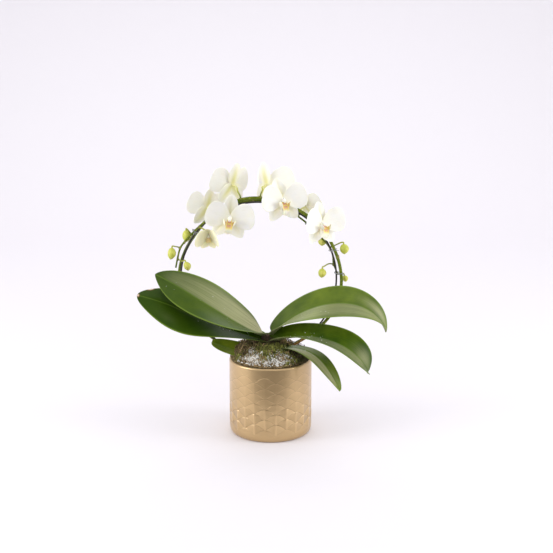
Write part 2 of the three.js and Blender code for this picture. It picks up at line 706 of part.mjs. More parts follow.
function place(name, manifold, finish) {
  const [color, roughness, metalness] = FINISHES[finish];
  const material = new THREE.MeshStandardMaterial({ color, roughness, metalness });
  const mesh = new THREE.Mesh(geometryOf(manifold), material);
  mesh.name = name;
  group.add(mesh);
}

place('cover_pot', coverPot(), 'gold');
place('grow_pot', growPot(), 'liner');
place('potting_mix', pottingMix(), 'bark');
place('moss', moss(), 'moss');
place('crown', crownBody(), 'crown');
place('dry_root', cutBack(rootRod(), [crownBody(GAP)]), 'root');
place('hoop', hoopRod(), 'wire');
Object.keys(SPIKES).forEach((name) => place(name, spike(name), 'stem'));
Object.entries(LEAVES).forEach(([name, leaf]) => {
  place(name, cutBack(leafBlade(leaf), [crownBody(GAP)]), 'leaf');
});
FLOWERS.forEach((flower, number) => {
  place(`flower_${number + 1}`, perianth(flower), 'petal');
  place(`lip_${number + 1}`, lip(flower), 'lip');
});
BUDS.forEach((one, number) => place(`bud_${number + 1}`, bud(one), 'bud'));
TIES.forEach((one, number) => place(`tie_${number + 1}`, tie(one), 'tie'));

export default group;
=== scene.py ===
"""Looks of a potted moth orchid: two flower spikes tied to a wire hoop, in a gold pot with a scale relief.

Shapes are worked out in millimetres in the frame's own axes, and become metres when their mesh is made.
Each piece repeats the driving values of the solid that it stands for, and adds what is finer.
"""

import math

import bpy
import numpy as np
from bpy.props import FloatProperty, FloatVectorProperty, IntProperty, PointerProperty
from bpy.types import Operator, Panel, PropertyGroup
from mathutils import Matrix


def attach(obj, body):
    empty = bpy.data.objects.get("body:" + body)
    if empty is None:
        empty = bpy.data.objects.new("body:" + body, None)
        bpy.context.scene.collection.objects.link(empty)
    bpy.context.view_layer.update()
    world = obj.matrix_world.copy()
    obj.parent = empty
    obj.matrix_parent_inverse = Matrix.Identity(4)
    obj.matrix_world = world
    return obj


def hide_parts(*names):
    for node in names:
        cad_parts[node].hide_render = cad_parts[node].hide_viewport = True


bl_info = {
    "name": "Potted Moth Orchid",
    "version": (1, 0, 0),
    "blender": (4, 5, 0),
    "location": "View3D > Sidebar > Orchid",
    "description": "Adds the finished pieces of a potted moth orchid round its packed frame",
    "category": "Add Mesh",
}

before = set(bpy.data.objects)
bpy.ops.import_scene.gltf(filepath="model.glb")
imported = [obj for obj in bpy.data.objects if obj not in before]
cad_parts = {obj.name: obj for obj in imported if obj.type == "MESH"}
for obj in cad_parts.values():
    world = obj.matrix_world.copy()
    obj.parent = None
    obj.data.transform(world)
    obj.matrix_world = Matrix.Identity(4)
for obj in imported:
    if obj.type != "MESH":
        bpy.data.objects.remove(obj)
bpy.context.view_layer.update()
MM = 0.001
UP = np.array([0.0, 0.0, 1.0])
TURN = 2 * math.pi
SPAN_STEPS = 40


# Arithmetic on arrays of points


def unit(vectors):
    """Each vector divided by its length."""
    return vectors / np.maximum(np.linalg.norm(vectors, axis=-1, keepdims=True), 1e-12)


def step_up(value, low, high):
    """0 below low, 1 above high, and a smooth S between them."""
    share = np.clip((value - low) / (high - low), 0, 1)
    return share * share * (3 - 2 * share)


def bell(value, width):
    """1 at nought, falling off as a bell of that width."""
    return np.exp(-((value / width) ** 2))


def bezier(points, s):
    """A cubic curve from the first point to the last, drawn towards the two between them."""
    a, b, c, d = (np.array(p, float) for p in points)
    s = np.asarray(s)[..., None]
    return (1 - s) ** 3 * a + 3 * (1 - s) ** 2 * s * b + 3 * (1 - s) * s * s * c + s**3 * d


def bezier_way(points, s):
    """The direction of that curve: its three legs, blended by the square terms."""
    a, b, c, d = (np.array(p, float) for p in points)
    s = np.asarray(s)[..., None]
    return unit((1 - s) ** 2 * (b - a) + 2 * (1 - s) * s * (c - b) + s * s * (d - c))


def parabola(values, s):
    """A parabola through its value at the root, the middle and the tip."""
    root, middle, tip = values
    return root * (1 - s) * (1 - 2 * s) + middle * 4 * s * (1 - s) + tip * s * (2 * s - 1)


def blade_width(s, rise, fall):
    """Width along a leaf or petal, at most 1: the way run to one power times the way left to another."""
    peak = rise / (rise + fall)
    inside = np.clip(s, 0, 1)
    return inside**rise * (1 - inside) ** fall / (peak**rise * (1 - peak) ** fall)


def spline(points, count):
    """A smooth curve through the points at equal steps of its length. The spans are timed by the square
    root of their length, and each is a cubic with the tangents that those times give."""
    known = np.array(points, float)
    known = np.vstack([2 * known[0] - known[1], known, 2 * known[-1] - known[-2]])
    time = np.sqrt(np.linalg.norm(np.diff(known[:, :3], axis=0), axis=1))[:, None]
    before, span, after = time[:-2], time[1:-1], time[2:]
    p0, p1, p2, p3 = known[:-3], known[1:-2], known[2:-1], known[3:]
    start = ((p1 - p0) / before - (p2 - p0) / (before + span) + (p2 - p1) / span) * span
    end = ((p2 - p1) / span - (p3 - p1) / (span + after) + (p3 - p2) / after) * span
    u = (np.arange(SPAN_STEPS) / SPAN_STEPS)[None, :, None]
    curve = (p1[:, None] + start[:, None] * u + (3 * (p2 - p1) - 2 * start - end)[:, None] * u**2
             + (2 * (p1 - p2) + start + end)[:, None] * u**3)
    curve = np.vstack([curve.reshape(-1, known.shape[1]), known[-2]])
    length = np.concatenate([[0], np.cumsum(np.linalg.norm(np.diff(curve[:, :3], axis=0), axis=1))])
    even = np.linspace(0, length[-1], count)
    return np.stack([np.interp(even, length, column) for column in curve.T], axis=1)


def table(names, *rows):
    """One dict for each row, with its values under the names."""
    return [dict(zip(names.split(), row)) for row in rows]


def circle(count):
    """Angles at equal steps round a full turn."""
    return TURN * np.arange(count) / count


def ring(sides, first, second):
    """Directions at equal steps from the first through the second and on round."""
    angle = circle(sides)[:, None]
    return np.cos(angle) * first + np.sin(angle) * second


def turned(radius, angle, z, x=0.0, y=0.0):
    """Points by their distance from an upright axis at x and y, their angle round it and their height."""
    return np.stack(np.broadcast_arrays(x + radius * np.cos(angle), y + radius * np.sin(angle), z), axis=-1)


def rolled(level, lift, roll):
    """Both directions turned by the roll, the first one towards the second."""
    return level * np.cos(roll) + lift * np.sin(roll), lift * np.cos(roll) - level * np.sin(roll)


def grid(along, across):
    """The place along and the place across of each point of a surface, in rows and columns."""
    return np.meshgrid(along, across, indexing="ij")


def round_edge(place, power, least):
    """1 in the middle, falling to the least share at -1 and 1 as a rounded edge does."""
    return least + (1 - least) * np.sqrt(np.clip(1 - place**power, 0, 1))


def edged(count, share):
    """Steps from -1 to 1 that crowd towards both ends by the given share."""
    even = np.linspace(-1, 1, count)
    return (1 - share) * even + share * np.sin(even * math.pi / 2)


def eased(count, share=1.0):
    """Steps from 0 to 1 that crowd towards both ends by the given share."""
    even = np.linspace(0, 1, count)
    return (1 - share) * even + share * (0.5 - 0.5 * np.cos(math.pi * even))


# Closed surfaces


class Part:
    """A closed surface: its points, its faces with four and with three corners, and the values that are
    painted on its points. Faces that point inwards are turned round."""

    def __init__(self, points, quads=(), triangles=(), **paint):
        self.points = np.asarray(points, float).reshape(-1, 3)
        self.quads = np.asarray(quads, int).reshape(-1, 4)
        self.triangles = np.asarray(triangles, int).reshape(-1, 3)
        self.paint = {name: np.broadcast_to(value, len(self.points)) if np.ndim(value) == 0
                      else np.asarray(value, float).ravel() for name, value in paint.items()}
        halves = np.concatenate([self.quads[:, :3], self.quads[:, [0, 2, 3]], self.triangles])
        a, b, c = (self.points[halves[:, k]] for k in range(3))
        if np.einsum("ij,ij->", a, np.cross(b, c)) < 0:
            self.quads = self.quads[:, ::-1]
            self.triangles = self.triangles[:, ::-1]


def merged(parts):
    """All parts as one, with nought where a part has no paint of that name."""
    starts = np.cumsum([0] + [len(p.points) for p in parts])
    whole = Part(
        np.concatenate([p.points for p in parts]),
        np.concatenate([p.quads + n for p, n in zip(parts, starts)]),
        np.concatenate([p.triangles + n for p, n in zip(parts, starts)]),
    )
    for name in sorted({name for p in parts for name in p.paint}):
        whole.paint[name] = np.concatenate([p.paint.get(name, np.zeros(len(p.points))) for p in parts])
    return whole


def quads_of(index):
    """The faces between a grid's rows and columns."""
    return np.stack([index[:-1, :-1], index[1:, :-1], index[1:, 1:], index[:-1, 1:]], axis=-1).reshape(-1, 4)


def slab(middle, half, **paint):
    """Two skins laid in front of and behind a grid of points, along its normals, and joined round its
    edge. `behind` is painted 1 on the second skin."""
    normal = unit(np.cross(np.gradient(middle, axis=0), np.gradient(middle, axis=1)))
    count = middle.shape[0] * middle.shape[1]
    index = np.arange(count).reshape(middle.shape[:2])
    rim = np.concatenate([index[0, :-1], index[:-1, -1], index[-1, :0:-1], index[:0:-1, 0]])
    after = np.roll(rim, -1)
    front, back = half if isinstance(half, tuple) else (half, half)
    points = np.concatenate([(middle + normal * np.asarray(front)[..., None]).reshape(-1, 3),
                             (middle - normal * np.asarray(back)[..., None]).reshape(-1, 3)])
    quads = np.concatenate([quads_of(index), quads_of(index)[:, ::-1] + count,
                            np.stack([rim, after, after + count, rim + count], axis=1)])
    both = {name: np.tile(np.broadcast_to(value, index.shape).ravel(), 2) for name, value in paint.items()}
    return Part(points, quads, behind=np.repeat([0.0, 1.0], count), **both)


def skin(rings, loop=False, **paint):
    """A closed body through a grid of rings. Each end is closed by a fan, or the last ring meets the
    first. A value painted per ring is spread round it."""
    rows, sides = rings.shape[:2]
    index = np.arange(rows * sides).reshape(rows, sides)
    round_about = np.hstack([index, index[:, :1]])
    spread = {name: np.repeat(np.broadcast_to(value, rows), sides) if np.ndim(value) < 2 else np.ravel(value)
              for name, value in paint.items()}
    if loop:
        return Part(rings, quads_of(np.vstack([round_about, round_about[:1]])), **spread)
    points = np.vstack([rings.reshape(-1, 3), rings[0].mean(0), rings[-1].mean(0)])
    first, last = rows * sides, rows * sides + 1
    near, far = index[0], index[-1]
    fans = np.concatenate([
        np.stack([near, np.roll(near, -1), np.full(sides, first)], axis=1),
        np.stack([np.roll(far, -1), far, np.full(sides, last)], axis=1),
    ])
    capped = {name: np.append(value, [value[0], value[-1]]) for name, value in spread.items()}
    return Part(points, quads_of(round_about), fans, **capped)


def sections(path, radius, sides):
    """Round sections square to a path. They turn about the direction in which the path runs least."""
    way = unit(np.gradient(path, axis=0))
    least = np.linalg.svd(way, full_matrices=False)[2][-1]
    first = unit(np.cross(way, least))
    round_about = ring(sides, first[:, None], np.cross(way, first)[:, None])
    return path[:, None] + np.broadcast_to(radius, len(path))[:, None, None] * round_about


def tube(path, radius, sides, **paint):
    """A round rod along a path, with `along` painted from 0 to 1."""
    return skin(sections(path, radius, sides), along=np.linspace(0, 1, len(path)), **paint)


def linked(name, data):
    """A new object with this data, put into the scene."""
    thing = bpy.data.objects.new(name, data)
    bpy.context.scene.collection.objects.link(thing)
    return thing


def sheet(name, points, faces, finish):
    """An object of open faces through the points, in metres."""
    mesh = bpy.data.meshes.new(name)
    mesh.from_pydata(points, [], faces)
    mesh.materials.append(finish)
    return linked(name, mesh)


def make_piece(name, part, finish, slot, *nodes):
    """Puts a part into a mesh in metres, with its paint as attributes, and lets it ride on the frame."""
    mesh = bpy.data.meshes.new(name)
    corners = np.concatenate([part.quads.ravel(), part.triangles.ravel()]).astype(np.int32)
    sizes = np.concatenate([np.full(len(part.quads), 4), np.full(len(part.triangles), 3)]).astype(np.int32)
    mesh.vertices.add(len(part.points))
    mesh.vertices.foreach_set("co", (part.points * MM).astype(np.float32).ravel())
    mesh.loops.add(len(corners))
    mesh.loops.foreach_set("vertex_index", corners)
    mesh.polygons.add(len(sizes))
    mesh.polygons.foreach_set("loop_start", (np.cumsum(sizes) - sizes).astype(np.int32))
    mesh.polygons.foreach_set("use_smooth", np.ones(len(sizes), bool))
    for title, values in part.paint.items():
        mesh.attributes.new(title, "FLOAT", "POINT").data.foreach_set("value", values.astype(np.float32))
    mesh.update(calc_edges=True)
    mesh.materials.append(finish)
    piece = linked(name, mesh)
    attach(piece, "root")
    if nodes:
        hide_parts(*nodes)


# Finishes


def toned(color, share, more=0.0):
    """The colour made darker or lighter by a share and a little more, at most 1."""
    return tuple(min(1, c * share + more) for c in color)


class Finish:
    """A material under construction. Each method adds one node and returns its output."""

    def __init__(self, name):
        self.material = bpy.data.materials.new(name)
        self.material.use_nodes = True
        self.tree = self.material.node_tree
        self.shader = self.tree.nodes["Principled BSDF"]
        self.place = self.add("ShaderNodeTexCoord").outputs["Object"]

    def feed(self, socket, value):
        if isinstance(value, bpy.types.NodeSocket):
            self.tree.links.new(value, socket)
        elif value is not None:
            is_color = np.ndim(value) == 1 and len(socket.default_value) == 4
            socket.default_value = (*value, 1) if is_color else value

    def add(self, kind, *values, **settings):
        """A new node with these settings, whose first sockets take the values."""
        node = self.tree.nodes.new(kind)
        for name, value in settings.items():
            setattr(node, name, value)
        for socket, value in zip(node.inputs, values):
            self.feed(socket, value)
        return node

    def fed(self, node, **sockets):
        """The node with its sockets fed, whose names are written with underscores for spaces."""
        for name, value in sockets.items():
            self.feed(node.inputs[name.replace("_", " ")], value)
        return node

    def done(self, **sockets):
        self.fed(self.shader, **sockets)
        return self.material

    def painted(self, *names):
        """The values painted on the mesh under these names."""
        found = [self.add("ShaderNodeAttribute", attribute_name=name).outputs["Fac"] for name in names]
        return found if len(names) > 1 else found[0]

    def calc(self, kind, *values, clamp=False):
        return self.add("ShaderNodeMath", *values, operation=kind, use_clamp=clamp).outputs[0]

    def times(self, a, b):
        return self.calc("MULTIPLY", a, b)

    def plus(self, a, b):
        return self.calc("ADD", a, b)

    def minus(self, a, b):
        return self.calc("SUBTRACT", a, b)

    def size(self, a):
        return self.calc("ABSOLUTE", a)

    def either(self, pick, a, b):
        """The first value where pick is 0, and the second where it is 1."""
        return self.add("ShaderNodeMix", pick, None, a, b, data_type="FLOAT").outputs[0]

    def span(self, value, low, high, start=0.0, end=1.0):
        """The value taken from low..high to start..end along a smooth S, and held there outside them."""
        return self.add("ShaderNodeMapRange", value, low, high, start, end,
                        interpolation_type="SMOOTHSTEP").outputs[0]

    def stretched(self, x, y, z):
        """Object coordinates, each multiplied by its own number."""
        return self.add("ShaderNodeVectorMath", self.place, (x, y, z), operation="MULTIPLY").outputs[0]

    def lanes(self, across, fine, along, long, third=0.0):
        """Coordinates that run across and along a leaf or petal, each multiplied by its own number."""
        x, y = self.times(across, fine), self.times(along, long)
        return self.add("ShaderNodeCombineXYZ", x, y, third).outputs[0]

    def noise(self, scale, detail=3.0, rough=0.5, vector=None, twist=0.0):
        node = self.add("ShaderNodeTexNoise")
        self.fed(node, Vector=vector or self.place, Scale=scale, Detail=detail, Roughness=rough,
                 Distortion=twist)
        return node.outputs["Fac"]

    def cells(self, scale):
        return self.fed(self.add("ShaderNodeTexVoronoi"), Vector=self.place, Scale=scale).outputs["Distance"]

    def blend(self, share, a, b):
        """Colour a where the share is 0, and colour b where it is 1."""
        node = self.add("ShaderNodeMix", share, data_type="RGBA")
        for socket, color in zip(node.inputs[6:8], (a, b)):
            self.feed(socket, color)
        return node.outputs[2]

    def bump(self, height, depth, strength=1.0, under=None):
        return self.fed(self.add("ShaderNodeBump"), Strength=strength, Distance=depth, Height=height,
                        Normal=under).outputs["Normal"]


# Cover pot

POT = {"radius": 65, "height": 121, "wall": 4.6, "rim": 2.6, "floor": 5, "corner": 4, "foot": 58,
       "columns": 408}
# The straight part of the wall: where it starts, and the steps between its rings
WALL = {"foot": 14, "step": 0.8}
# The rounded foot edge, as distances from the wall's radius and heights
FOOT_EDGE = [(0.1, 12.5), (0, 10.5), (-0.2, 8.4), (-0.6, 6.4), (-1.3, 4.5), (-2.3, 2.8), (-3.6, 1.4),
             (-5.2, 0.4)]
SCALES = {"around": 12, "turned": 0.25, "rows": 10, "pitch": 8.5, "lowest": 20.8, "rise": 8.9, "bow": 1.7}


def scale_relief(angle, z, depth):
    """Height of the scale relief. Each row's upper edge is a chain of arcs, and every other row is half a
    scale on. What shows of a scale is a fan between its own arc and those of the next row. It is two
    facets that fall away from a ridge down its middle, steeper in the lower rows."""
    relief = np.zeros_like(z)
    for row in range(SCALES["rows"], -2, -1):
        place = angle / TURN * SCALES["around"] - SCALES["turned"] + (row % 2) / 2
        across = 2 * np.abs(place - np.round(place))
        foot = SCALES["lowest"] + row * SCALES["pitch"]
        below = foot + SCALES["rise"] * (1 - across ** SCALES["bow"]) - z
        lowness = step_up(6.0 - row, 0, 4.5)
        ridge = (0.2 + 0.9 * lowness) * (0.35 if row < 0 else 1 - 0.12 * max(0, row - 6))
        face = ridge * (0.45 - across) * step_up(below, 17, 9 if row > 0 else 3)
        share = step_up(below, -0.8, 0.8)
        relief = relief * (1 - share) + share * face
    return depth * relief * step_up(z, WALL["foot"], WALL["foot"] + 4)


def pot_part(depth):
    """The pot turned about its axis: the profile runs from the middle of the inner floor up inside, over
    the round rim, down outside, round the foot edge and back to the middle."""
    inside, full, wall, corner = POT["radius"] - POT["wall"], POT["radius"], POT["wall"], POT["corner"]
    shoulder = POT["height"] - POT["rim"]
    arc = np.linspace(0, math.pi / 2, 7)[:, None]
    floor = np.array([[2, POT["floor"]], [inside - 18, POT["floor"]]])
    bend = np.hstack([inside - corner + corner * np.sin(arc), POT["floor"] + corner - corner * np.cos(arc)])
    inner = np.array([[inside, z] for z in np.linspace(WALL["foot"], shoulder, 18)])
    turn = np.linspace(math.pi, 0, 19)[1:-1, None]
    rim = np.hstack([full - wall / 2 + wall / 2 * np.cos(turn), shoulder + POT["rim"] * np.sin(turn)])
    outer = np.array([[full, z] for z in np.arange(shoulder, WALL["foot"], -WALL["step"])])
    foot = np.array([[full + out, z] for out, z in FOOT_EDGE] + [[POT["foot"], 0], [30, 0], [2, 0]])
    profile = np.vstack([floor, bend, inner, rim, outer, foot])
    angle = circle(POT["columns"])
    radius, z = (np.repeat(profile[:, k:k + 1], len(angle), axis=1) for k in (0, 1))
    carved = slice(len(profile) - len(outer) - len(foot), len(profile) - len(foot))
    radius[carved] += scale_relief(np.broadcast_to(angle, z[carved].shape), z[carved], depth)
    return skin(turned(radius, angle, z))


def scale_map(f):
    """Where a point of the wall lies on its scale: the distance below the scale's arc, the share of the way
    from its middle to its side, the height of its top and the distance above the next arc. The even and the
    odd rows are two sets of arcs that repeat every two rows, and the one with the lower top covers the
    other."""
    x, y, z = f.add("ShaderNodeSeparateXYZ", f.place).outputs
    height = f.times(z, 1000)
    turn = f.times(f.calc("ARCTAN2", y, x), SCALES["around"] / TURN)
    sets = []
    for odd in (0, 1):
        place = f.plus(turn, SCALES["around"] + odd / 2 - SCALES["turned"])
        across = f.times(f.calc("PINGPONG", place, 0.5), 2)
        fall = f.times(f.calc("POWER", across, SCALES["bow"]), SCALES["rise"])
        top = SCALES["lowest"] + SCALES["rise"] + (odd + 20) * SCALES["pitch"]
        arc = f.minus(f.minus(top, fall), height)
        below = f.calc("FLOORED_MODULO", arc, 2 * SCALES["pitch"])
        sets.append((below, across, f.plus(f.plus(height, below), fall)))
    even, odd = sets
    odd_covers = f.calc("LESS_THAN", odd[2], even[2])
    above = f.minus(2 * SCALES["pitch"], f.calc("MAXIMUM", even[0], odd[0]))
    return [f.either(odd_covers, a, b) for a, b in zip(even, odd)] + [above, height]


def gold_glaze(color):
    """Satin gold: metal under a thin glaze. Each scale has a soft raised line along its arc that is also a
    painted highlight, painted shade that darkens it away from its arc, a painted shadow just above the next
    row's arcs, and two faces that fall away from a ridge, steeper in the lower rows, with a painted highlight
    along the ridge that is strongest there."""
    f = Finish("gold_glaze")
    grain = f.noise(2600, 2, 0.6)
    pores = f.noise(420, 2, 0.5)
    below, across, top, above, height = scale_map(f)
    band = f.times(f.span(height, 17, 24), f.span(height, 117, 100))
    # The line share is a raised line along each arc, and also where a painted highlight lies
    line = f.times(f.span(below, 1.1, 0.2), band)
    # The lit share: painted light near each arc, fading further down the scale
    lit = f.times(f.span(below, 8.0, 0.5), band)
    low = f.times(f.span(top, 70, 44, 0.08, 1.0), f.span(top, 24, 29))
    low = f.times(low, f.span(top, 112, 96))
    # The ridge share is a painted highlight along each scale's ridge, strongest in the lower rows
    ridge = f.times(f.span(across, 0.16, 0.02), f.times(low, 0.22))
    # The seam share is where a painted shadow lies, just above the next row's arcs
    seam = f.times(f.span(above, 1.6, 0.3), band)
    light = toned(color, 1.25, 0.04)
    tone = f.blend(f.span(f.noise(14, 2, 0.5), 0.35, 0.65, 0, 0.16), color, light)
    # Painted shade: each scale darker further down, away from its arc
    tone = f.blend(f.times(f.minus(1.0, lit), 0.3), tone, toned(color, 0.82))
    # Painted shadow just above the next row's arcs
    tone = f.blend(f.times(seam, 0.5), tone, toned(color, 0.6))
    # Painted highlight along the raised line on each arc
    tone = f.blend(f.times(line, 0.45), tone, light)
    # Painted highlight along the ridges
    tone = f.blend(ridge, tone, toned(color, 1.5, 0.05))
    rough = f.bump(f.plus(grain, f.times(pores, 1.4)), 0.00006, 0.35)
    faces = f.bump(f.times(f.minus(1.0, across), low), 0.0036, 1.0, rough)
    return f.done(Base_Color=tone, Metallic=0.7, Roughness=f.span(pores, 0.3, 0.7, 0.31, 0.37),
                  Normal=f.bump(line, 0.0002, 0.3, faces), Coat_Weight=0.3, Coat_Roughness=0.3)


# Leaves

# A leaf: four points of its spine and its greatest half width; roll and fold in degrees at the root, the
# middle and the tip; the powers of its outline; how yellow it is, how dark its painted shade is, and how
# glossy it is; the bloom, a pale painted reflection, at the same three places and the half that has it,
# 1 for the near and -1 for the far one; and a painted sheen highlight, by its place and reach along the
# leaf, then across it, and its strength
LEAVES = {
    "leaf_left_top": {
        "spine": [(-11, -1, 158), (-38, -22, 165), (-131, -35, 243), (-176, -32, 263)], "half": 39,
        "roll": (8, 37, 70), "fold": (35, 18, -8), "shape": (0.68, 0.84), "age": 0.15, "shade": 0.75,
        "gloss": 0.2, "bloom": (0.98, 0.45, 0.05), "paler": -1, "sheen": (0.8, 0.1, -0.45, 0.22, 0.22),
    },
    "leaf_left_low": {
        "spine": [(-8, -2, 148), (-154, -22, 198), (-119, -35, 208), (-204, -36, 231)], "half": 38,
        "roll": (17, 42, 35), "fold": (30, -4, -6), "shape": (0.7, 0.56), "age": 0.1, "shade": 0.95,
        "gloss": 0.1, "bloom": (0, 0, 0), "paler": 1, "sheen": (0.7, 0.1, 0.6, 0.2, 0.04),
    },
    "leaf_left_small": {
        "spine": [(-6, -1, 131), (-34, -2, 125), (-57, -8, 135), (-92, -12, 149)], "half": 14,
        "roll": (9, 37, 36), "fold": (37, 20, 5), "shape": (0.41, 0.37), "age": 1.0, "shade": 0.3,
        "gloss": 0.1, "bloom": (0, 0, 0), "paler": 1, "sheen": (0.7, 0.1, 0.6, 0.2, 0.05),
    },
    "leaf_right_top": {
        "spine": [(3, -1, 159), (65, -25, 231), (158, -40, 236), (179, -31, 171)], "half": 32,
        "roll": (-18, -35, -31), "fold": (38, 9, 39), "shape": (0.49, 0.75), "age": 0.3, "shade": 0.1,
        "gloss": 0.3, "bloom": (0.4, 0.28, 0.42), "paler": 1, "sheen": (0.83, 0.13, -0.45, 0.28, 0.5),
    },
    "leaf_right_low": {
        "spine": [(1, -3, 146), (42, -22, 173), (130, -65, 173), (150, -53, 112)], "half": 31,
        "roll": (-28, -13, -35), "fold": (50, 22, 25), "shape": (0.62, 0.35), "age": 0.05, "shade": 0.1,
        "gloss": 0.1, "bloom": (0.18, 0.14, 0.45), "paler": 1, "sheen": (0.88, 0.1, -0.3, 0.4, 0.35),
    },
    "leaf_right_small": {
        "spine": [(-2, -4, 131), (63, -36, 159), (84, -60, 134), (107, -64, 86)], "half": 15,
        "roll": (10, -8, -26), "fold": (33, 1, 29), "shape": (0.58, 0.54), "age": 0.3, "shade": 0.0,
        "gloss": 0.3, "bloom": (0.68, 0.55, 0.55), "paler": 1, "sheen": (0.85, 0.1, -0.3, 0.4, 0.15),
    },
}
# Dust on a leaf: number of specks, then the stretches along and across it where they lie
DUST = {
    "leaf_left_low": (26, (0.05, 0.42), (-0.2, 0.6)),
    "leaf_left_top": (8, (0.3, 0.9), (-0.5, 0.5)),
    "leaf_right_top": (7, (0.1, 0.5), (0.1, 0.8)),
    "leaf_right_low": (22, (0.1, 0.6), (-0.3, 0.7)),
    "leaf_right_small": (6, (0.1, 0.5), (-0.5, 0.5)),
}
DUST_HEIGHT = 1.3
DUST_RADIUS = (0.4, 1.0)
DUST_WHITE = (0.95, 0.95, 0.92)
SCARRED_LEAF = "leaf_left_low"
LEAF_BASE = 0.34
LEAF_CREASE = 0.12
LEAF_TIP = 0.9
LEAF_ROWS = 124
LEAF_COLUMNS = 41
LEAF_TINTS = {"vein": (0.12, 0.2, 0.02), "old": (0.26, 0.33, 0.02), "under": (0.1, 0.15, 0.03),
              "scar": (0.75, 0.62, 0.42), "scar_edge": (0.2, 0.11, 0.05)}


def leaf_middle(leaf, s, t):
    """Middle surface of a leaf. At each place on its spine the section is turned by the roll and is two
    arms that rise from a rounded crease by the fold. A slow wave runs along its edges."""
    way = bezier_way(leaf["spine"], s)
    level = unit(np.cross(way, UP))
    lift = np.cross(level, way)
    roll = np.radians(parabola(leaf["roll"], s))[..., None]
    fold = np.radians(parabola(leaf["fold"], s))
    across, up = rolled(level, lift, roll)
    base = LEAF_BASE * (1 - s) ** 3
    width = leaf["half"] * (base + blade_width(s, *leaf["shape"]) * (1 - base)) + LEAF_TIP
    arm = np.hypot(t, LEAF_CREASE) - LEAF_CREASE
    wave = 0.02 * t**2 * np.sin(TURN * (1.7 * s + leaf["age"])) * np.sin(math.pi * s)
    out = (width * t * np.cos(fold))[..., None]
    rise = (width * (arm * np.sin(fold) + wave))[..., None]
    return bezier(leaf["spine"], s) + across * out + up * rise, width


def leaf_part(leaf):
    """A leaf: thick along the midrib, thin at its rounded edge, with a groove above the midrib and a keel
    under it."""
    s, t = grid(eased(LEAF_ROWS, 0.6), edged(LEAF_COLUMNS, 0.4))
    middle, width = leaf_middle(leaf, s, t)
    half = (0.45 + 0.75 * (1 - np.abs(t)) * (1 - 0.5 * s)) * round_edge(t, 10, 0.25)
    groove = 0.75 * bell(t * width, 1.5) * (1 - 0.4 * s)
    keel = 0.9 * bell(t * width, 2.2) * (1 - 0.5 * s)
    normal = np.cross(np.gradient(middle, axis=0), np.gradient(middle, axis=1))
    over, under = half - groove, half + keel
    if normal[..., 2].mean() < 0:
        over, under = under, over
    part = slab(middle, (over, under), along=s, across=t, reach=t * width)
    if normal[..., 2].mean() < 0:
        part.paint["behind"] = 1 - part.paint["behind"]
    return part


def leaf_paint(name, along, across):
    """What is painted on a leaf: its age, its painted shade, the bloom on one half, which is a painted
    reflection, together with the painted sheen highlight, and on one leaf the scars at its tip and on its
    edge."""
    leaf = LEAVES[name]
    near = across if leaf["spine"][3][0] > 0 else -across
    # Painted reflection: a pale haze on one half of the leaf, falling to nothing at the tip
    paler = np.clip(parabola(leaf["bloom"], along), 0, 1) * step_up(leaf["paler"] * near, -0.02, 0.1)
    # Painted sheen highlight: a bell round its place along and across the leaf
    at, run, side, reach, weight = leaf["sheen"]
    sheen = weight * bell(along - at, run) * bell(near - side, reach)
    tip = bell(np.hypot((along - 1) * 8, 0.2 * across), 0.12)
    spot = bell(np.hypot((along - 0.925) * 14, (across - 1) * 2.2), 0.4)
    return {
        "age": np.full_like(along, leaf["age"]),
        "bloom": np.maximum(paler * step_up(along, 1.0, 0.85), sheen),
        "shade": np.full_like(along, leaf["shade"]),
        "scar": np.maximum(tip, spot) * (name == SCARRED_LEAF),
    }


def dust_part(name, random):
    """Specks of dust that lie on a leaf's upper face."""
    count, along, across = DUST[name]
    s, t = random.uniform(*along, count), random.uniform(*across, count)
    step = 1e-3
    middle, ahead, aside = (leaf_middle(LEAVES[name], s + on, t + over)[0]
                            for on, over in ((0, 0), (step, 0), (0, step)))
    normal = unit(np.cross(ahead - middle, aside - middle))
    normal *= np.sign(normal[:, 2:])
    return granules_part(middle + DUST_HEIGHT * normal, DUST_RADIUS, random)


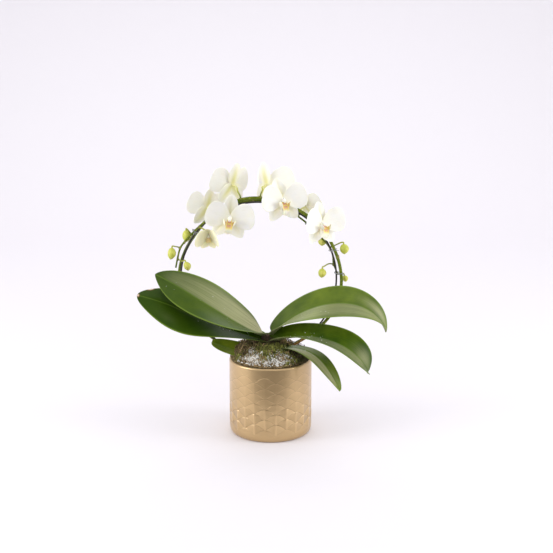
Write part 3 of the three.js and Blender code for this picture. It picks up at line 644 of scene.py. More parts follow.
def leaf_green(colors, gloss):
    """Leaf: green mottled in soft clouds, fine veins side by side, painted shade that darkens some leaves, a
    pale line in the midrib groove, a pale edge that is partly the leaf's own margin and partly painted light
    through the thin edge, a lighter matt underside, and a streaky painted reflection with a painted sheen
    highlight on one half of some leaves. Old leaves are yellower, and a scar is dry and brown-edged."""
    f = Finish(f"leaf_green_{round(100 * gloss)}")
    along, across, reach = f.painted("along", "across", "reach")
    age, bloom, shade, behind, scar = f.painted("age", "bloom", "shade", "behind", "scar")
    clouds = f.noise(16, 3, 0.55)
    tone = f.blend(f.span(clouds, 0.32, 0.7), colors["deep"], colors["green"])
    tone = f.blend(f.times(f.span(along, 0.35, 0.0), 0.55), tone, colors["deep"])
    veins = f.noise(1.0, 2, 0.5, vector=f.lanes(across, 46, along, 2.2))
    tone = f.blend(f.span(veins, 0.52, 0.7, 0, 0.42), tone, colors["vein"])
    tone = f.blend(f.span(veins, 0.42, 0.28, 0, 0.5), tone, colors["deep"])
    # Painted shade: the shade share darkens the leaf towards the deep green
    tone = f.blend(shade, tone, colors["deep"])
    yellow = f.times(age, f.span(f.noise(30, 3, 0.6), 0.3, 0.75, 0.35, 1.0))
    tone = f.blend(f.times(yellow, 0.75), tone, colors["old"])
    from_edge = f.minus(1.0, f.size(across))
    # Painted reflection and painted sheen highlight: the bloom share lightens one half in streaks
    bloom = f.times(bloom, f.span(veins, 0.3, 0.6, 0.6, 1.1))
    tone = f.blend(f.times(bloom, f.span(from_edge, 0.04, 0.34, 0.35, 1)), tone, colors["bloom"])
    # Pale edge: partly the leaf's own margin, partly painted light through the thin edge
    tone = f.blend(f.span(from_edge, 0.09, 0.0, 0, 0.8), tone, colors["margin"])
    tone = f.blend(f.span(f.size(reach), 1.6, 0.2, 0, 0.55), tone, colors["vein"])
    under = f.blend(f.span(veins, 0.4, 0.7), colors["under"], colors["bloom"])
    tone = f.blend(f.span(behind, 0.4, 0.6), tone, under)
    tone = f.blend(f.span(scar, 0.25, 0.45), tone, colors["scar_edge"])
    tone = f.blend(f.span(scar, 0.5, 0.75), tone, colors["scar"])
    ripple = f.noise(1.0, 2, 0.6, vector=f.lanes(across, 34, along, 150))
    normal = f.bump(f.plus(veins, f.times(ripple, 0.35)), 0.0005, 0.4)
    rough = f.plus(f.span(ripple, 0.35, 0.7, 0.3, 0.42), f.times(behind, 0.2))
    return f.done(Base_Color=tone, Roughness=rough, Normal=normal, Specular_IOR_Level=gloss)


# Flowers

FLOWERS = table(
    "at yaw pitch roll lean size cup shut",
    ((-62, -14, 347), 2, -6, -7, 0, 0.98, 13, 0),
    ((-99, 35, 354), -146, 4, 10, 0, 0.84, 14, 0),
    ((-60, 38, 390), -142, 12, 5, 0, 0.95, 11, 0),
    ((-5, 38, 389.5), 142, 7, -3, -9, 0.95, 32, 0),
    ((19, -16, 374.5), 21, 4, 3, 14, 0.95, 14, 0),
    ((54.5, 35, 357), 130, 28, 0, 0, 0.76, 20, 0),
    ((79.5, -12, 337.5), 32, 6, -2, 12, 0.93, 15, 0),
    ((-94, -18, 321), -3, -12, 2, 0, 0.64, 16, 44),
)
TEPALS = table(
    "angle length half shape cupped back",
    (90, 38, (10, 10), (0.62, 0.62), 0.3, 1.2),
    (168, 39, (19, 22), (0.8, 0.42), 1, -0.6),
    (12, 39, (22, 19), (0.8, 0.42), 1, -0.6),
    (233, 38, (12, 12), (0.55, 0.75), 0.3, 1.2),
    (307, 38, (12, 12), (0.55, 0.75), 0.3, 1.2),
)
TEPAL_TIP = 0.7
TEPAL_GRID = (36, 27)
RECEPTACLE_LENGTH = 8
# The axis of the receptacle and the column: place in the flower's axes, and radius
HEART = [(0, 0, -8, 1.4), (0, 0, -3, 2.4), (0, 0.4, 0.5, 3.4), (0, 0.2, 5, 2.6), (0, -0.6, 9, 2.5),
         (0, -1.6, 11, 1.4)]
HEART_RINGS, HEART_SIDES = 46, 26
LIP = {
    "middle": [(0, -1, 2.4), (0, -7, 11), (0, -17, 14), (0, -23, 8)],
    "middle_half": 4.2,
    "side": [(1.2, -6.6, 6), (8, -10, 7), (10.5, -6, 11.5), (8, -1.4, 14.5)],
    "side_half": 3.6,
    "side_face": (0.3, 0.6, -0.5),
    # How much wider the middle lobe is near its tip, and where
    "anchor": 2.6,
    "anchor_at": 0.86,
    # The right-hand side: the tendril as steps away from the tip, and the callus as places and radii
    "tendril": [(0.6, 0.6, 0.2), (2.4, -1.6, 1.4), (4.8, -1.2, 4.2), (4.6, 1.4, 6), (2.8, 2.0, 5.2)],
    "tendril_ends": (0.42, 0.16),
    "callus": [(1.1, -6.2, 6.6, 0.5), (1.3, -7, 8, 1.5), (1.2, -7.6, 9.4, 1.3), (1.0, -8, 10.4, 0.35)],
    # Rows or rings, and columns or sides
    "middle_grid": (40, 17),
    "side_grid": (24, 13),
    "tendril_grid": (26, 8),
    "callus_grid": (16, 14),
}
PETAL_TINTS = {"vein": (0.88, 0.855, 0.75), "cream": (0.93, 0.9, 0.73), "green": (0.8, 0.77, 0.36),
               "cap": (0.9, 0.75, 0.66)}
LIP_TINTS = {"cream": (0.96, 0.93, 0.76), "peach": (0.85, 0.53, 0.37), "pale": (0.9, 0.82, 0.4)}


def flower_axes(flower):
    """Right, up and forward of a flower, as seen by who looks at its face: forward is turned by the yaw and
    raised by the pitch, and the other two are turned about it by the roll."""
    yaw, pitch, roll = (math.radians(flower[n]) for n in ("yaw", "pitch", "roll"))
    forward = np.array([math.sin(yaw) * math.cos(pitch), -math.cos(yaw) * math.cos(pitch), math.sin(pitch)])
    level = np.array([math.cos(yaw), math.sin(yaw), 0.0])
    return np.stack([*rolled(level, np.cross(forward, level), roll), forward])


def onto_flower(part, flower):
    """Takes a part from the flower's own axes to the frame's."""
    part.points = part.points * flower["size"] @ flower_axes(flower) + np.array(flower["at"], float)
    return part


def tepal_part(tepal, flower, seed):
    """A petal or sepal: it runs out at its angle and rises with the cup, its edges turn up a little and
    ruffle, and a shallow groove follows its middle."""
    rows, columns = TEPAL_GRID
    s, t = grid(eased(rows), edged(columns, 0.5))
    broad = tepal["cupped"] == 1
    angle = math.radians(tepal["angle"] + (flower["lean"] if tepal["angle"] == 90 else 0))
    shut = flower["shut"]
    slope = math.tan(math.radians(flower["cup"] * tepal["cupped"] - (0 if broad else 5) + shut))
    width = np.where(t > 0, *tepal["half"]) * blade_width(s, *tepal["shape"]) + TEPAL_TIP + 1.6 * (1 - s) ** 2
    reach, out = tepal["length"] * math.cos(math.radians(shut)) * s, width * t
    waves = np.sin(TURN * (1.3 * s + 0.37 * seed) + 2.1 * np.sign(t))
    ruffle = (0.9 if broad else 0.5) * np.abs(t) ** 3 * waves
    curl = 1.4 * bell(s - 1, 0.35) * math.sin(1.9 * seed) - 0.8 * np.sin(math.pi * s)
    groove = (0.35 if broad else 0.6) * bell(out, 1.6 if broad else 2.4) * step_up(s, 1.0, 0.75)
    dish = slope * reach + 0.06 * out**2 / max(tepal["half"]) - tepal["back"]
    rise = dish + (ruffle + curl) * step_up(s, 0, 0.4) - groove
    middle = np.stack([math.cos(angle) * reach - math.sin(angle) * out,
                       math.sin(angle) * reach + math.cos(angle) * out, rise], axis=-1)
    half = 0.36 * (round_edge(t, 8, 0.3) * round_edge(s, 8, 0.35)) + 0.25 * (1 - s) ** 3
    return slab(middle, half, along=s, across=t, reach=out, broad=float(broad))


def column_part():
    """The column and the receptacle behind it: rings along a bent axis, with a round cap at the end, a
    groove behind the cap and a hollow on the side of the lip."""
    spine = spline(HEART, HEART_RINGS)
    z, radius = spine[:, 2], spine[:, 3]
    radius = radius * (1 - 0.16 * bell(z - 8.3, 0.35)) + 0.25 * bell(z - 9.6, 0.9)
    radius[-4:] *= [0.9, 0.72, 0.45, 0.2]
    angle = circle(HEART_SIDES)
    dent = 0.9 * bell(z - 6.6, 1.2)[:, None] * bell(np.cos(angle / 2 - 0.75 * math.pi) - 1, 0.12)
    out = radius[:, None] * (1 + 0.08 * np.sin(2 * angle)) - dent
    x, y, z = (spine[:, k, None] for k in range(3))
    return skin(turned(out, angle, z, x, y), column=1.0, along=np.linspace(0, 1, HEART_RINGS))


def perianth_part(flower, number):
    """A whole flower but its lip: five tepals and the column, in the flower's own axes, then placed."""
    parts = [tepal_part(tepal, flower, number + 0.61 * k) for k, tepal in enumerate(TEPALS)]
    return onto_flower(merged([*parts, column_part()]), flower)


def lobe_grid(rows, columns):
    """Places along and across a lobe, which crowd towards its root and tip."""
    return grid(eased(rows), np.linspace(-1, 1, columns))


def lobe_middle(spine, half, face, flare, s, t, shape, cupping):
    """A lobe of the lip: a curve with its width laid across it, wider at the anchor near the tip, and with
    its edges raised by the cupping."""
    anchor = flare * bell(s - LIP["anchor_at"], 0.08)
    width = half * blade_width(s, *shape) + 1 + anchor
    way = bezier_way(spine, s)
    face = unit(np.array(face, float))
    rise = unit(np.cross(way, np.broadcast_to(face, way.shape)))
    lift = cupping * (width * t) ** 2 / np.maximum(width, 0.5) * (1 - anchor / LIP["anchor"])
    return bezier(spine, s) + face * (width * t)[..., None] + rise * lift[..., None], width


def lip_part(flower):
    """The lip: a middle lobe with a keel and two tendrils, two cupped side lobes and a two-part callus."""
    s, t = lobe_grid(*LIP["middle_grid"])
    half, anchor = LIP["middle_half"], LIP["anchor"]
    middle, width = lobe_middle(LIP["middle"], half, (1, 0, 0), anchor, s, t, (0.5, 0.5), 0.28)
    thick = (0.42 + 0.5 * bell(t * width, 0.9)) * round_edge(t, 6, 0.2)
    parts = [slab(middle, thick, along=s, across=t)]
    s, t = lobe_grid(*LIP["side_grid"])
    for hand in (-1, 1):
        spine = [(hand * x, y, z) for x, y, z in LIP["side"]]
        x, y, z = LIP["side_face"]
        lobe, width = lobe_middle(spine, LIP["side_half"], (hand * x, y, z), 0, s, t, (0.6, 0.35), 0.3 * hand)
        parts.append(slab(lobe, 0.4 * round_edge(t, 6, 0.2), along=s, across=t, side=1.0))
        tip = np.array(LIP["middle"][3], float)
        curl = [tip + (hand * x, y, z) for x, y, z in LIP["tendril"]]
        rings, sides = LIP["tendril_grid"]
        parts.append(tube(spline(curl, rings), np.linspace(*LIP["tendril_ends"], rings), sides, tendril=1.0))
        rings, sides = LIP["callus_grid"]
        knob = spline([(hand * x, y, z, thick) for x, y, z, thick in LIP["callus"]], rings)
        parts.append(tube(knob[:, :3], knob[:, 3], sides, callus=1.0))
    return onto_flower(merged(parts), flower)


def petal_white(colors):
    """Petal: white, cream towards the heart, with a fan of faint veins, a green wash along the middle of the
    sepals that is stronger on their backs, and a soft, slightly translucent skin."""
    f = Finish("petal_white")
    along, across, reach = f.painted("along", "across", "reach")
    behind, broad, column, green = f.painted("behind", "broad", "column", "green")
    veins = f.noise(1.0, 2, 0.55, vector=f.lanes(across, 17, along, 2.5, green), twist=0.3)
    tone = f.blend(f.span(veins, 0.54, 0.72, 0, 0.55), colors["white"], colors["vein"])
    tone = f.blend(f.span(along, 0.5, 0.02, 0, 0.75), tone, colors["cream"])
    narrow = f.minus(1.0, broad)
    wash = f.times(f.span(f.size(reach), 8.0, 0.0, 0.15, 1.0), f.span(along, 1.15, 0.2))
    wash = f.times(f.times(wash, narrow), f.calc("MULTIPLY_ADD", behind, 0.75, 0.5, clamp=True))
    tone = f.blend(f.calc("ADD", wash, f.times(green, 0.5), clamp=True), tone, colors["green"])
    tone = f.blend(column, tone, f.blend(f.span(along, 0.42, 0.2), colors["white"], colors["green"]))
    tone = f.blend(f.times(column, f.span(along, 0.93, 1.0, 0, 0.55)), tone, colors["cap"])
    glitter = f.noise(1500, 2, 0.6)
    height = f.plus(veins, f.times(glitter, 0.12))
    return f.done(Base_Color=tone, Roughness=0.55, Normal=f.bump(height, 0.0004, 0.3), Subsurface_Weight=0.6,
                  Subsurface_Radius=(0.007, 0.0065, 0.005), Sheen_Weight=0.08)


def lip_colors(colors):
    """Lip: peach-red from the throat down the middle, yellow at its shoulders and on the lower part of the
    side lobes, cream at the tip and along the upper edges, with fine red stripes and dots."""
    f = Finish("lip_yellow")
    along, across, side, callus, tendril = f.painted("along", "across", "side", "callus", "tendril")
    stripes = f.noise(1.0, 2, 0.5, vector=f.lanes(across, 9, along, 3))
    peach = f.blend(f.span(stripes, 0.4, 0.62), colors["peach"], colors["red"])
    out = f.size(across)
    middle = f.blend(f.span(along, 0.5, 0.72), colors["yellow"], colors["cream"])
    throat = f.times(f.span(along, 0.6, 0.4), f.span(out, 1.0, 0.45))
    middle = f.blend(throat, middle, peach)
    wing = f.blend(f.span(along, 0.35, 0.7), colors["yellow"], colors["cream"])
    wing = f.blend(f.times(f.span(stripes, 0.5, 0.62), f.span(along, 0.7, 0.2, 0, 0.7)), wing, colors["red"])
    wing = f.blend(f.span(along, 0.4, 0.05, 0, 0.7), wing, peach)
    tone = f.blend(side, middle, wing)
    dots = f.span(f.cells(1300), 0.42, 0.25, 0, 0.7)
    tone = f.blend(callus, tone, f.blend(dots, colors["yellow"], colors["red"]))
    tone = f.blend(tendril, tone, colors["cream"])
    tone = f.blend(f.times(f.painted("young"), 0.75), tone, f.blend(dots, colors["pale"], colors["red"]))
    return f.done(Base_Color=tone, Roughness=0.45, Normal=f.bump(stripes, 0.0003, 0.3), Subsurface_Weight=0.4,
                  Subsurface_Radius=(0.004, 0.003, 0.0015), Coat_Weight=0.1)


# Hoop, spikes, buds and ties

HOOP = {"x": -18.5, "z": 245, "radius": 122, "wire": 1.4, "back": 18, "lean": 0.023, "foot": 128, "end": 85,
        "rings": 420, "sides": 14}
HOOP_LEGS = ([(-43, 16, HOOP["end"]), (-45, 16, 101), (-50, 17, 118)],
             [(26, 17.5, 118), (23, 16, 101), (22, 16, HOOP["end"])])
# A spike: the points of its root, then places on the hoop's dial, as degrees from the top, radius and depth;
# where it starts to thin, the radius of its tip, and the degrees of its bare joints
SPIKES = {
    "spike_right": {
        "root": [(-4, 6, 139), (8, 12, 137)],
        "dial": [(159, 118.3, 11.5), (144, 120, 9.5), (123, 125, 8), (108, 128, 8), (94, 129.6, 8),
                 (80, 128.6, 8), (66, 127.3, 8), (52, 127.8, 8), (36, 126.5, 8), (17, 127.8, 8), (2, 129, 8),
                 (-10, 129.5, 8), (-24, 127.3, 8), (-38, 124.5, 7.5), (-46, 124.3, 7), (-53, 126, 7),
                 (-61, 129, 7), (-67, 131.5, 7), (-75, 130.5, 7), (-81.5, 130.5, 7)],
        "thins": 0.72, "tip": 1.3, "joints": (118, 74, -61),
    },
    "spike_left": {
        "root": [(-10, 6, 139), (-26, 17, 134), (-46, 22, 131)],
        "dial": [(-160, 123.4, 22.8), (-150, 124, 22.5), (-140, 123.2, 22), (-125, 124, 21),
                 (-110, 125, 20.5), (-95, 125, 20), (-82, 124.6, 19.5), (-72, 123, 19), (-60, 121.5, 18.5),
                 (-44, 121.6, 18), (-30, 122.5, 17.5), (-12, 124, 17.5), (6, 123, 17.5), (22, 119.5, 17),
                 (35, 116, 16), (46, 116.5, 15.5), (56, 117.2, 16), (65, 121, 18), (72, 121.6, 18),
                 (79, 119.5, 17), (85, 122.8, 18.6), (87.5, 124, 18.8)],
        "thins": 0.5, "tip": 1.2, "joints": (-122, -88, -4),
    },
}
SPIKE_RADIUS = 2.5
PEDICEL_RADIUS = 1.25
SPIKE_STEPS, SPIKE_SIDES = 340, 18
# A joint's swelling and its reach along the stem, and a bract's least length and what it grows with the stem
JOINT_SWELL, JOINT_REACH = 0.28, 2.6
BRACT_LEAST, BRACT_MORE = 3.2, 1.8
# Stalks in the order of the flowers, on the hoop's dial: which spike each leaves, where, and what it passes
FLOWER_STALKS = table(
    "spike from by",
    ("spike_left", (-28, 122.6, 17.5), [(-26, 114.5, 14), (-24, 111.5, 5)]),
    ("spike_left", (-36, 122, 17.7), [(-34.5, 126, 20)]),
    ("spike_right", (-12, 129.3, 8), [(-12, 135, 9), (-13, 142, 16)]),
    ("spike_right", (1.5, 129, 8), [(1.5, 134, 9), (2.6, 140.5, 15)]),
    ("spike_right", (9, 128.5, 8), [(11, 131, 3)]),
    ("spike_left", (31, 117.1, 16.5), [(33, 122, 20)]),
    ("spike_right", (41, 127, 8), [(42, 130, 3)]),
    ("spike_right", (-47, 124.4, 7), [(-46.4, 122.5, -1)]),
)
BUDS = table(
    "spike axis size stalk",
    ("spike_left", (0, 0, -1), (19, 14), [(-57.5, 121.5, 18.4), (-56, 129, 22.5), (-56.3, 136, 24)]),
    ("spike_right", (-0.15, 0, -1), (19, 13.2), [(-67, 131.5, 7), (-67.5, 138, 6.5), (-69.2, 143.6, 7)]),
    ("spike_right", (0.35, -0.1, -1), (14.5, 11.6), [(-75, 130.5, 7), (-75.4, 123, 1), (-75, 117.2, -1)]),
    ("spike_left", (0, 0.1, -1), (14.8, 13.8), [(54, 117.1, 16), (56, 119.5, 21.5), (57, 118.4, 25)]),
    ("spike_left", (0.1, -0.05, -1), (16.4, 14.4), [(66, 121.2, 17.6), (66, 131, 16), (65.6, 141, 12),
                                                    (67, 143.8, 11)]),
    ("spike_left", (-0.1, 0, -1), (15, 13), [(79, 119.5, 17), (77.6, 112, 13), (78.5, 104, 9),
                                             (80, 101.2, 8.5)]),
    ("spike_left", (0.25, 0, -1), (10.8, 9.2), [(87, 123.8, 18.7), (87.2, 130, 18), (87.9, 134.4, 15)]),
)
# Each kind of stalk: rings, sides, how pale its head is, then its thickness along it, how much it swells at
# its foot and over what share of it, and how much at its head
STALKS = {"flower": (46, 12, 1.0, 0.92, 0.35, 0.09, 0.22), "bud": (34, 10, 0.6, 0.8, 0.4, 0.1, 0.25)}
# Half the width of a bud against the way along it
BUD_OUTLINE = [(0, 0.12), (0.04, 0.4), (0.14, 0.68), (0.32, 0.93), (0.52, 1), (0.74, 0.82), (0.92, 0.4),
               (1, 0.03)]
BUD_RINGS, BUD_SIDES = 40, 48
TIES = table(
    "degrees right left",
    (-52, (125.8, 7, 2.2), (121.5, 18.2, 2.3)),
    (40, (126.8, 8, 2.6), (116.2, 15.8, 1.7)),
    (68, (127.4, 8, 2.6), (121.4, 17.7, 1.5)),
    (85.5, (129.2, 8, 2.6), (122.9, 18.6, 1.4)),
)
STEM_TINTS = {"deep": (0.08, 0.12, 0.008), "light": (0.5, 0.5, 0.09), "pale": (0.76, 0.74, 0.34),
              "husk": (0.3, 0.24, 0.09)}
BUD_TINTS = {"green": (0.5, 0.53, 0.07), "tip": (0.56, 0.58, 0.16)}
TIE_GREY = (0.4, 0.41, 0.42)
TIE_WIRE = 0.8
TIE_CLEARANCE = 0.5
TIE_STEPS, TIE_SIDES = 120, 10
# The steps at which a tie's two ends leave its band, and the hand to which each is bent
TIE_ENDS = ((1, 98), (-1, 78))
# Points of an end: away from the band, to its hand, down and along the stems
TIE_HOOK = [(0, 0, 0, 0), (1.6, 0, 0, 0.6), (3.2, 0.9, -0.4, 1.8), (3.6, 2.2, -1, 2.6)]


def on_dial(degrees, radius, depth):
    """A place on the hoop's dial: degrees from the top towards the right, radius, and depth along Y."""
    angle = math.radians(degrees)
    return np.array([HOOP["x"] + radius * math.sin(angle), depth, HOOP["z"] + radius * math.cos(angle)])


def hoop_depth(z):
    """Depth of the wire, which leans forward with its height."""
    return HOOP["back"] - HOOP["lean"] * (z - HOOP["foot"])


def hoop_path():
    """Left leg, the circle from the left leg over the top to the right one, right leg."""
    round_about = [on_dial(degrees, HOOP["radius"], 0) for degrees in range(-160, 156, 15)]
    left, right = HOOP_LEGS
    return spline([*left, *((x, hoop_depth(z), z) for x, _, z in round_about), *right], HOOP["rings"])


def spike_path(spike):
    return spline([*spike["root"], *(on_dial(*p) for p in spike["dial"])], SPIKE_STEPS)


def stem_radius(spike, u):
    """Full radius up to where the stem thins, then a square-root taper to its tip."""
    taper = np.clip((u - spike["thins"]) / (1 - spike["thins"]), 0, None)
    return SPIKE_RADIUS + (spike["tip"] - SPIKE_RADIUS) * np.sqrt(taper)


def bract_part(place, way, outward, stem, length):
    """A scale leaf that clasps the stem: it wraps a half angle that narrows to its tip and leans out."""
    s, t = grid(np.linspace(0, 1, 12), np.linspace(-1, 1, 13))
    angle = (t * 1.7 * (1 - s) ** 0.6)[..., None]
    radius = (stem + 0.25 + 0.9 * s**2)[..., None]
    out = outward * np.cos(angle) + np.cross(way, outward) * np.sin(angle)
    return slab(place + way * (length * s - 1.2)[..., None] + out * radius, 0.22, along=s, husk=1.0)


def behind_flower(flower, distance):
    """A place on a flower's axis, so far behind its receptacle."""
    back = RECEPTACLE_LENGTH * flower["size"] + distance
    return np.array(flower["at"], float) - flower_axes(flower)[2] * back


def stalk_part(kind, points):
    """The stalk of a flower or bud, which swells at its foot by a bell and at its head by the fourth power
    of the way along it."""
    rings, sides, pale, thick, foot, reach, head = STALKS[kind]
    u = np.linspace(0, 1, rings)
    radius = PEDICEL_RADIUS * (thick + foot * bell(u, reach) + head * u**4)
    return tube(spline(points, rings), radius, sides, stalk=pale * u)


def spike_part(name):
    """A spike: the main stem swells at each joint by a bell and has a bract there. The joints are where a
    stalk leaves, and a few bare ones near its foot."""
    spike = SPIKES[name]
    path = spike_path(spike)
    way = unit(np.gradient(path, axis=0))
    length = np.linalg.norm(np.diff(path, axis=0), axis=1).sum()
    u = np.linspace(0, 1, SPIKE_STEPS)
    radius = stem_radius(spike, u)
    flowers = [([on_dial(*p) for p in (stalk["from"], *stalk["by"])], flower)
               for stalk, flower in zip(FLOWER_STALKS, FLOWERS) if stalk["spike"] == name]
    buds = [([on_dial(*p) for p in bud["stalk"]], unit(np.array(bud["axis"], float)))
            for bud in BUDS if bud["spike"] == name]
    joints = [(points[0], points[1] - points[0]) for points, _ in flowers + buds]
    for k, degrees in enumerate(spike["joints"]):
        nearest = np.abs(path - on_dial(degrees, 125, 12)).sum(axis=1).argmin()
        joints.append((path[nearest], np.array([math.sin(k), -0.6, math.cos(k)])))
    joints = [(np.linalg.norm(path - place, axis=1).argmin(), head) for place, head in joints]
    for k, _ in joints:
        radius = radius + JOINT_SWELL * bell((u - u[k]) * length, JOINT_REACH) * (radius[k] / SPIKE_RADIUS)
    parts = [tube(path, radius, SPIKE_SIDES)]
    for k, head in joints:
        outward = unit(head - way[k] * (head @ way[k]))
        bract = BRACT_LEAST + BRACT_MORE * radius[k] / SPIKE_RADIUS
        parts.append(bract_part(path[k], way[k], outward, stem_radius(spike, u[k]), bract))
    for points, flower in flowers:
        parts.append(stalk_part("flower", [*points, behind_flower(flower, 5), behind_flower(flower, -1)]))
    for points, axis in buds:
        parts.append(stalk_part("bud", [*points[:-1], points[-1] - 2.5 * axis, points[-1] + 0.8 * axis]))
    return merged(parts)


def bud_part(bud):
    """A bud: an egg about its axis, blunt at the stalk and drawn to a point, whose skin is three tepals that
    meet in seams."""
    way = unit(np.array(bud["axis"], float))
    across = unit(np.cross(way, (0, 1, 0)))
    third = np.cross(way, across)
    length, width = bud["size"]
    u = eased(BUD_RINGS)
    outline = np.interp(u, *np.transpose(BUD_OUTLINE))
    for _ in range(3):
        outline[1:-1] = (outline[:-2] + 2 * outline[1:-1] + outline[2:]) / 4
    angle = circle(BUD_SIDES)
    seam = bell(np.abs(((angle * 3 / TURN + 0.35) % 1) - 0.5), 0.05)
    ridge = 1 + 0.05 * np.cos(3 * angle + 2.2) - 0.07 * seam[None, :] * np.sin(math.pi * u)[:, None]
    out = (width / 2 * outline[:, None] * ridge)[..., None]
    top = on_dial(*bud["stalk"][-1])
    bow = 0.05 * length * np.sin(math.pi * u)[:, None, None] * across
    rings = (top + (u * length)[:, None, None] * way + bow + out * np.cos(angle)[:, None] * across
             + out * np.sin(angle)[:, None] * third)
    return skin(rings, along=u, seam=np.broadcast_to(seam, rings.shape[:2]))


def tie_part(tie):
    """A wire band drawn round the hoop and the stems beside it: in each direction the stem that reaches
    furthest carries it. Its two ends are bent out into small hooks."""
    turned = math.radians(tie["degrees"])
    depth = hoop_depth(on_dial(tie["degrees"], HOOP["radius"], 0)[2])
    stems = np.array([tie["right"], tie["left"], (HOOP["radius"], depth, HOOP["wire"])])
    angle = circle(TIE_STEPS)
    out, back = np.cos(angle), np.sin(angle)
    reach = stems[:, :1] * out + stems[:, 1:2] * back + stems[:, 2:]
    best = stems[reach.argmax(axis=0)]
    offset = best[:, 2] + TIE_CLEARANCE + TIE_WIRE
    flat = np.stack([best[:, 0] + offset * out, best[:, 1] + offset * back], axis=1)
    for _ in range(6):
        flat = (np.roll(flat, 1, axis=0) + 2 * flat + np.roll(flat, -1, axis=0)) / 4
    bow = 0.5 * np.sin(2 * angle)
    outward = unit(np.array([math.sin(turned), 0, math.cos(turned)]))
    along = np.array([outward[2], 0, -outward[0]])

    def placed(points, lift):
        centre = np.array([HOOP["x"], 0, HOOP["z"]])
        flat_place = centre + points[:, :1] * outward + points[:, 1:] * (0, 1, 0)
        return flat_place + np.reshape(lift, (-1, 1)) * along

    path = placed(flat, bow)
    way = unit(np.roll(path, -1, axis=0) - np.roll(path, 1, axis=0))
    section = ring(TIE_SIDES, along, np.cross(way, along)[:, None])
    parts = [skin(path[:, None] + TIE_WIRE * 0.8 * section, loop=True)]
    for hand, at in TIE_ENDS:
        away = unit(flat[at] - flat.mean(axis=0))
        hook = np.array([flat[at] + away * far + (hand * side, down) for far, side, down, _ in TIE_HOOK])
        lift = [bow[at] + hand * rise for _, _, _, rise in TIE_HOOK]
        parts.append(tube(spline(placed(hook, lift), 18), TIE_WIRE * 0.62, 8))
    return merged(parts)


def coated_wire(color):
    """Hoop: dark plastic-coated wire with faint scuffs."""
    f = Finish("coated_wire")
    scuffs = f.noise(900, 3, 0.6, vector=f.stretched(1, 1, 0.4))
    tone = f.blend(f.span(scuffs, 0.55, 0.75, 0, 0.5), color, toned(color, 2.4, 0.01))
    return f.done(Base_Color=tone, Roughness=f.span(scuffs, 0.3, 0.7, 0.32, 0.5),
                  Normal=f.bump(scuffs, 0.00005, 0.3))


def stem_green(colors):
    """Stems: green with fine streaks along them and pale pores, yellower on the stalks, with straw-coloured
    edges on the bracts."""
    f = Finish("stem_green")
    stalk, husk, along = f.painted("stalk", "husk", "along")
    streaks = f.noise(260, 3, 0.55)
    clouds = f.noise(28, 2, 0.5)
    tone = f.blend(f.span(clouds, 0.3, 0.7), colors["deep"], colors["green"])
    tone = f.blend(f.span(streaks, 0.5, 0.75, 0, 0.35), tone, colors["light"])
    tone = f.blend(f.span(stalk, 0.0, 0.6, 0, 0.85), tone, colors["light"])
    tone = f.blend(f.span(stalk, 0.5, 0.9, 0, 0.85), tone, colors["pale"])
    tone = f.blend(f.times(husk, f.span(along, 0.0, 1.0, 0.3, 0.9)), tone, colors["husk"])
    tone = f.blend(f.span(f.cells(420), 0.16, 0.08, 0, 0.12), tone, colors["light"])
    return f.done(Base_Color=tone, Roughness=0.42, Specular_IOR_Level=0.15,
                  Normal=f.bump(streaks, 0.00012, 0.4))


def bud_green(colors):
    """Buds: yellow-green, greener at the stalk and in the seams, with faint veins to the tip."""
    f = Finish("bud_green")
    along, seam = f.painted("along", "seam")
    clouds = f.noise(110, 3, 0.5)
    tone = f.blend(f.span(clouds, 0.35, 0.7), colors["green"], colors["yellow"])
    tone = f.blend(f.span(along, 0.4, 0.0, 0, 0.6), tone, colors["green"])
    tone = f.blend(f.span(along, 0.75, 1.0, 0, 0.5), tone, colors["tip"])
    tone = f.blend(f.times(seam, 0.55), tone, colors["green"])
    veins = f.noise(340, 2, 0.5, vector=f.stretched(1, 1, 0.25))
    return f.done(Base_Color=tone, Roughness=0.45, Normal=f.bump(veins, 0.0002, 0.4), Subsurface_Weight=0.12,
                  Subsurface_Radius=(0.003, 0.003, 0.001))


def clear_tie(color):
    """Ties: clear grey plastic, slightly clouded."""
    f = Finish("clear_tie")
    haze = f.noise(500, 2, 0.5)
    return f.done(Base_Color=f.blend(haze, color, toned(color, 0.6)), Roughness=0.25,
                  Transmission_Weight=0.25, IOR=1.46, Normal=f.bump(haze, 0.00004, 0.3))


# Crown, root, moss and the inside of the pot

CROWN = {"x": -7, "foot": 98, "top": 158.5}
CROWN_PROFILE = [(6.5, 98), (7.5, 112), (8.6, 126), (8, 128), (9.2, 139), (8.2, 141), (9, 149), (7.6, 152),
                 (6.4, 156.5), (3.6, 158.5)]
# Foot and height of each sheath, and the direction of its middle in radians
SHEATHS = [(116, 15, 4.4), (122, 15, 1.6), (128, 16, 5.1), (134, 14, 0.3), (139, 12, 3.9)]
CROWN_RINGS, CROWN_SIDES = 90, 60
SHEATH_GRID = (20, 41)
ROOT_POINTS = [(-1, 4, 127.5), (18, 2, 131.5), (36, 1.5, 140), (56, 2, 152)]
ROOT_RINGS, ROOT_SIDES = 120, 20
# Dry skins: dark and light brown, how fine the fibres are, and how rough
DRY_SKINS = {
    "bark_chips": ((0.03, 0.016, 0.008), (0.11, 0.06, 0.03), 160, 0.95),
    "dry_sheath": ((0.03, 0.015, 0.009), (0.14, 0.075, 0.035), 420, 0.8),
    "tan_root": ((0.26, 0.11, 0.02), (0.66, 0.36, 0.1), 500, 0.7),
}
LINER_GREYS = ((0.62, 0.66, 0.63), (0.78, 0.8, 0.78))
FLAKE_WHITE = (0.95, 0.93, 0.87)
FLAKE_RADIUS = (0.9, 2.6)
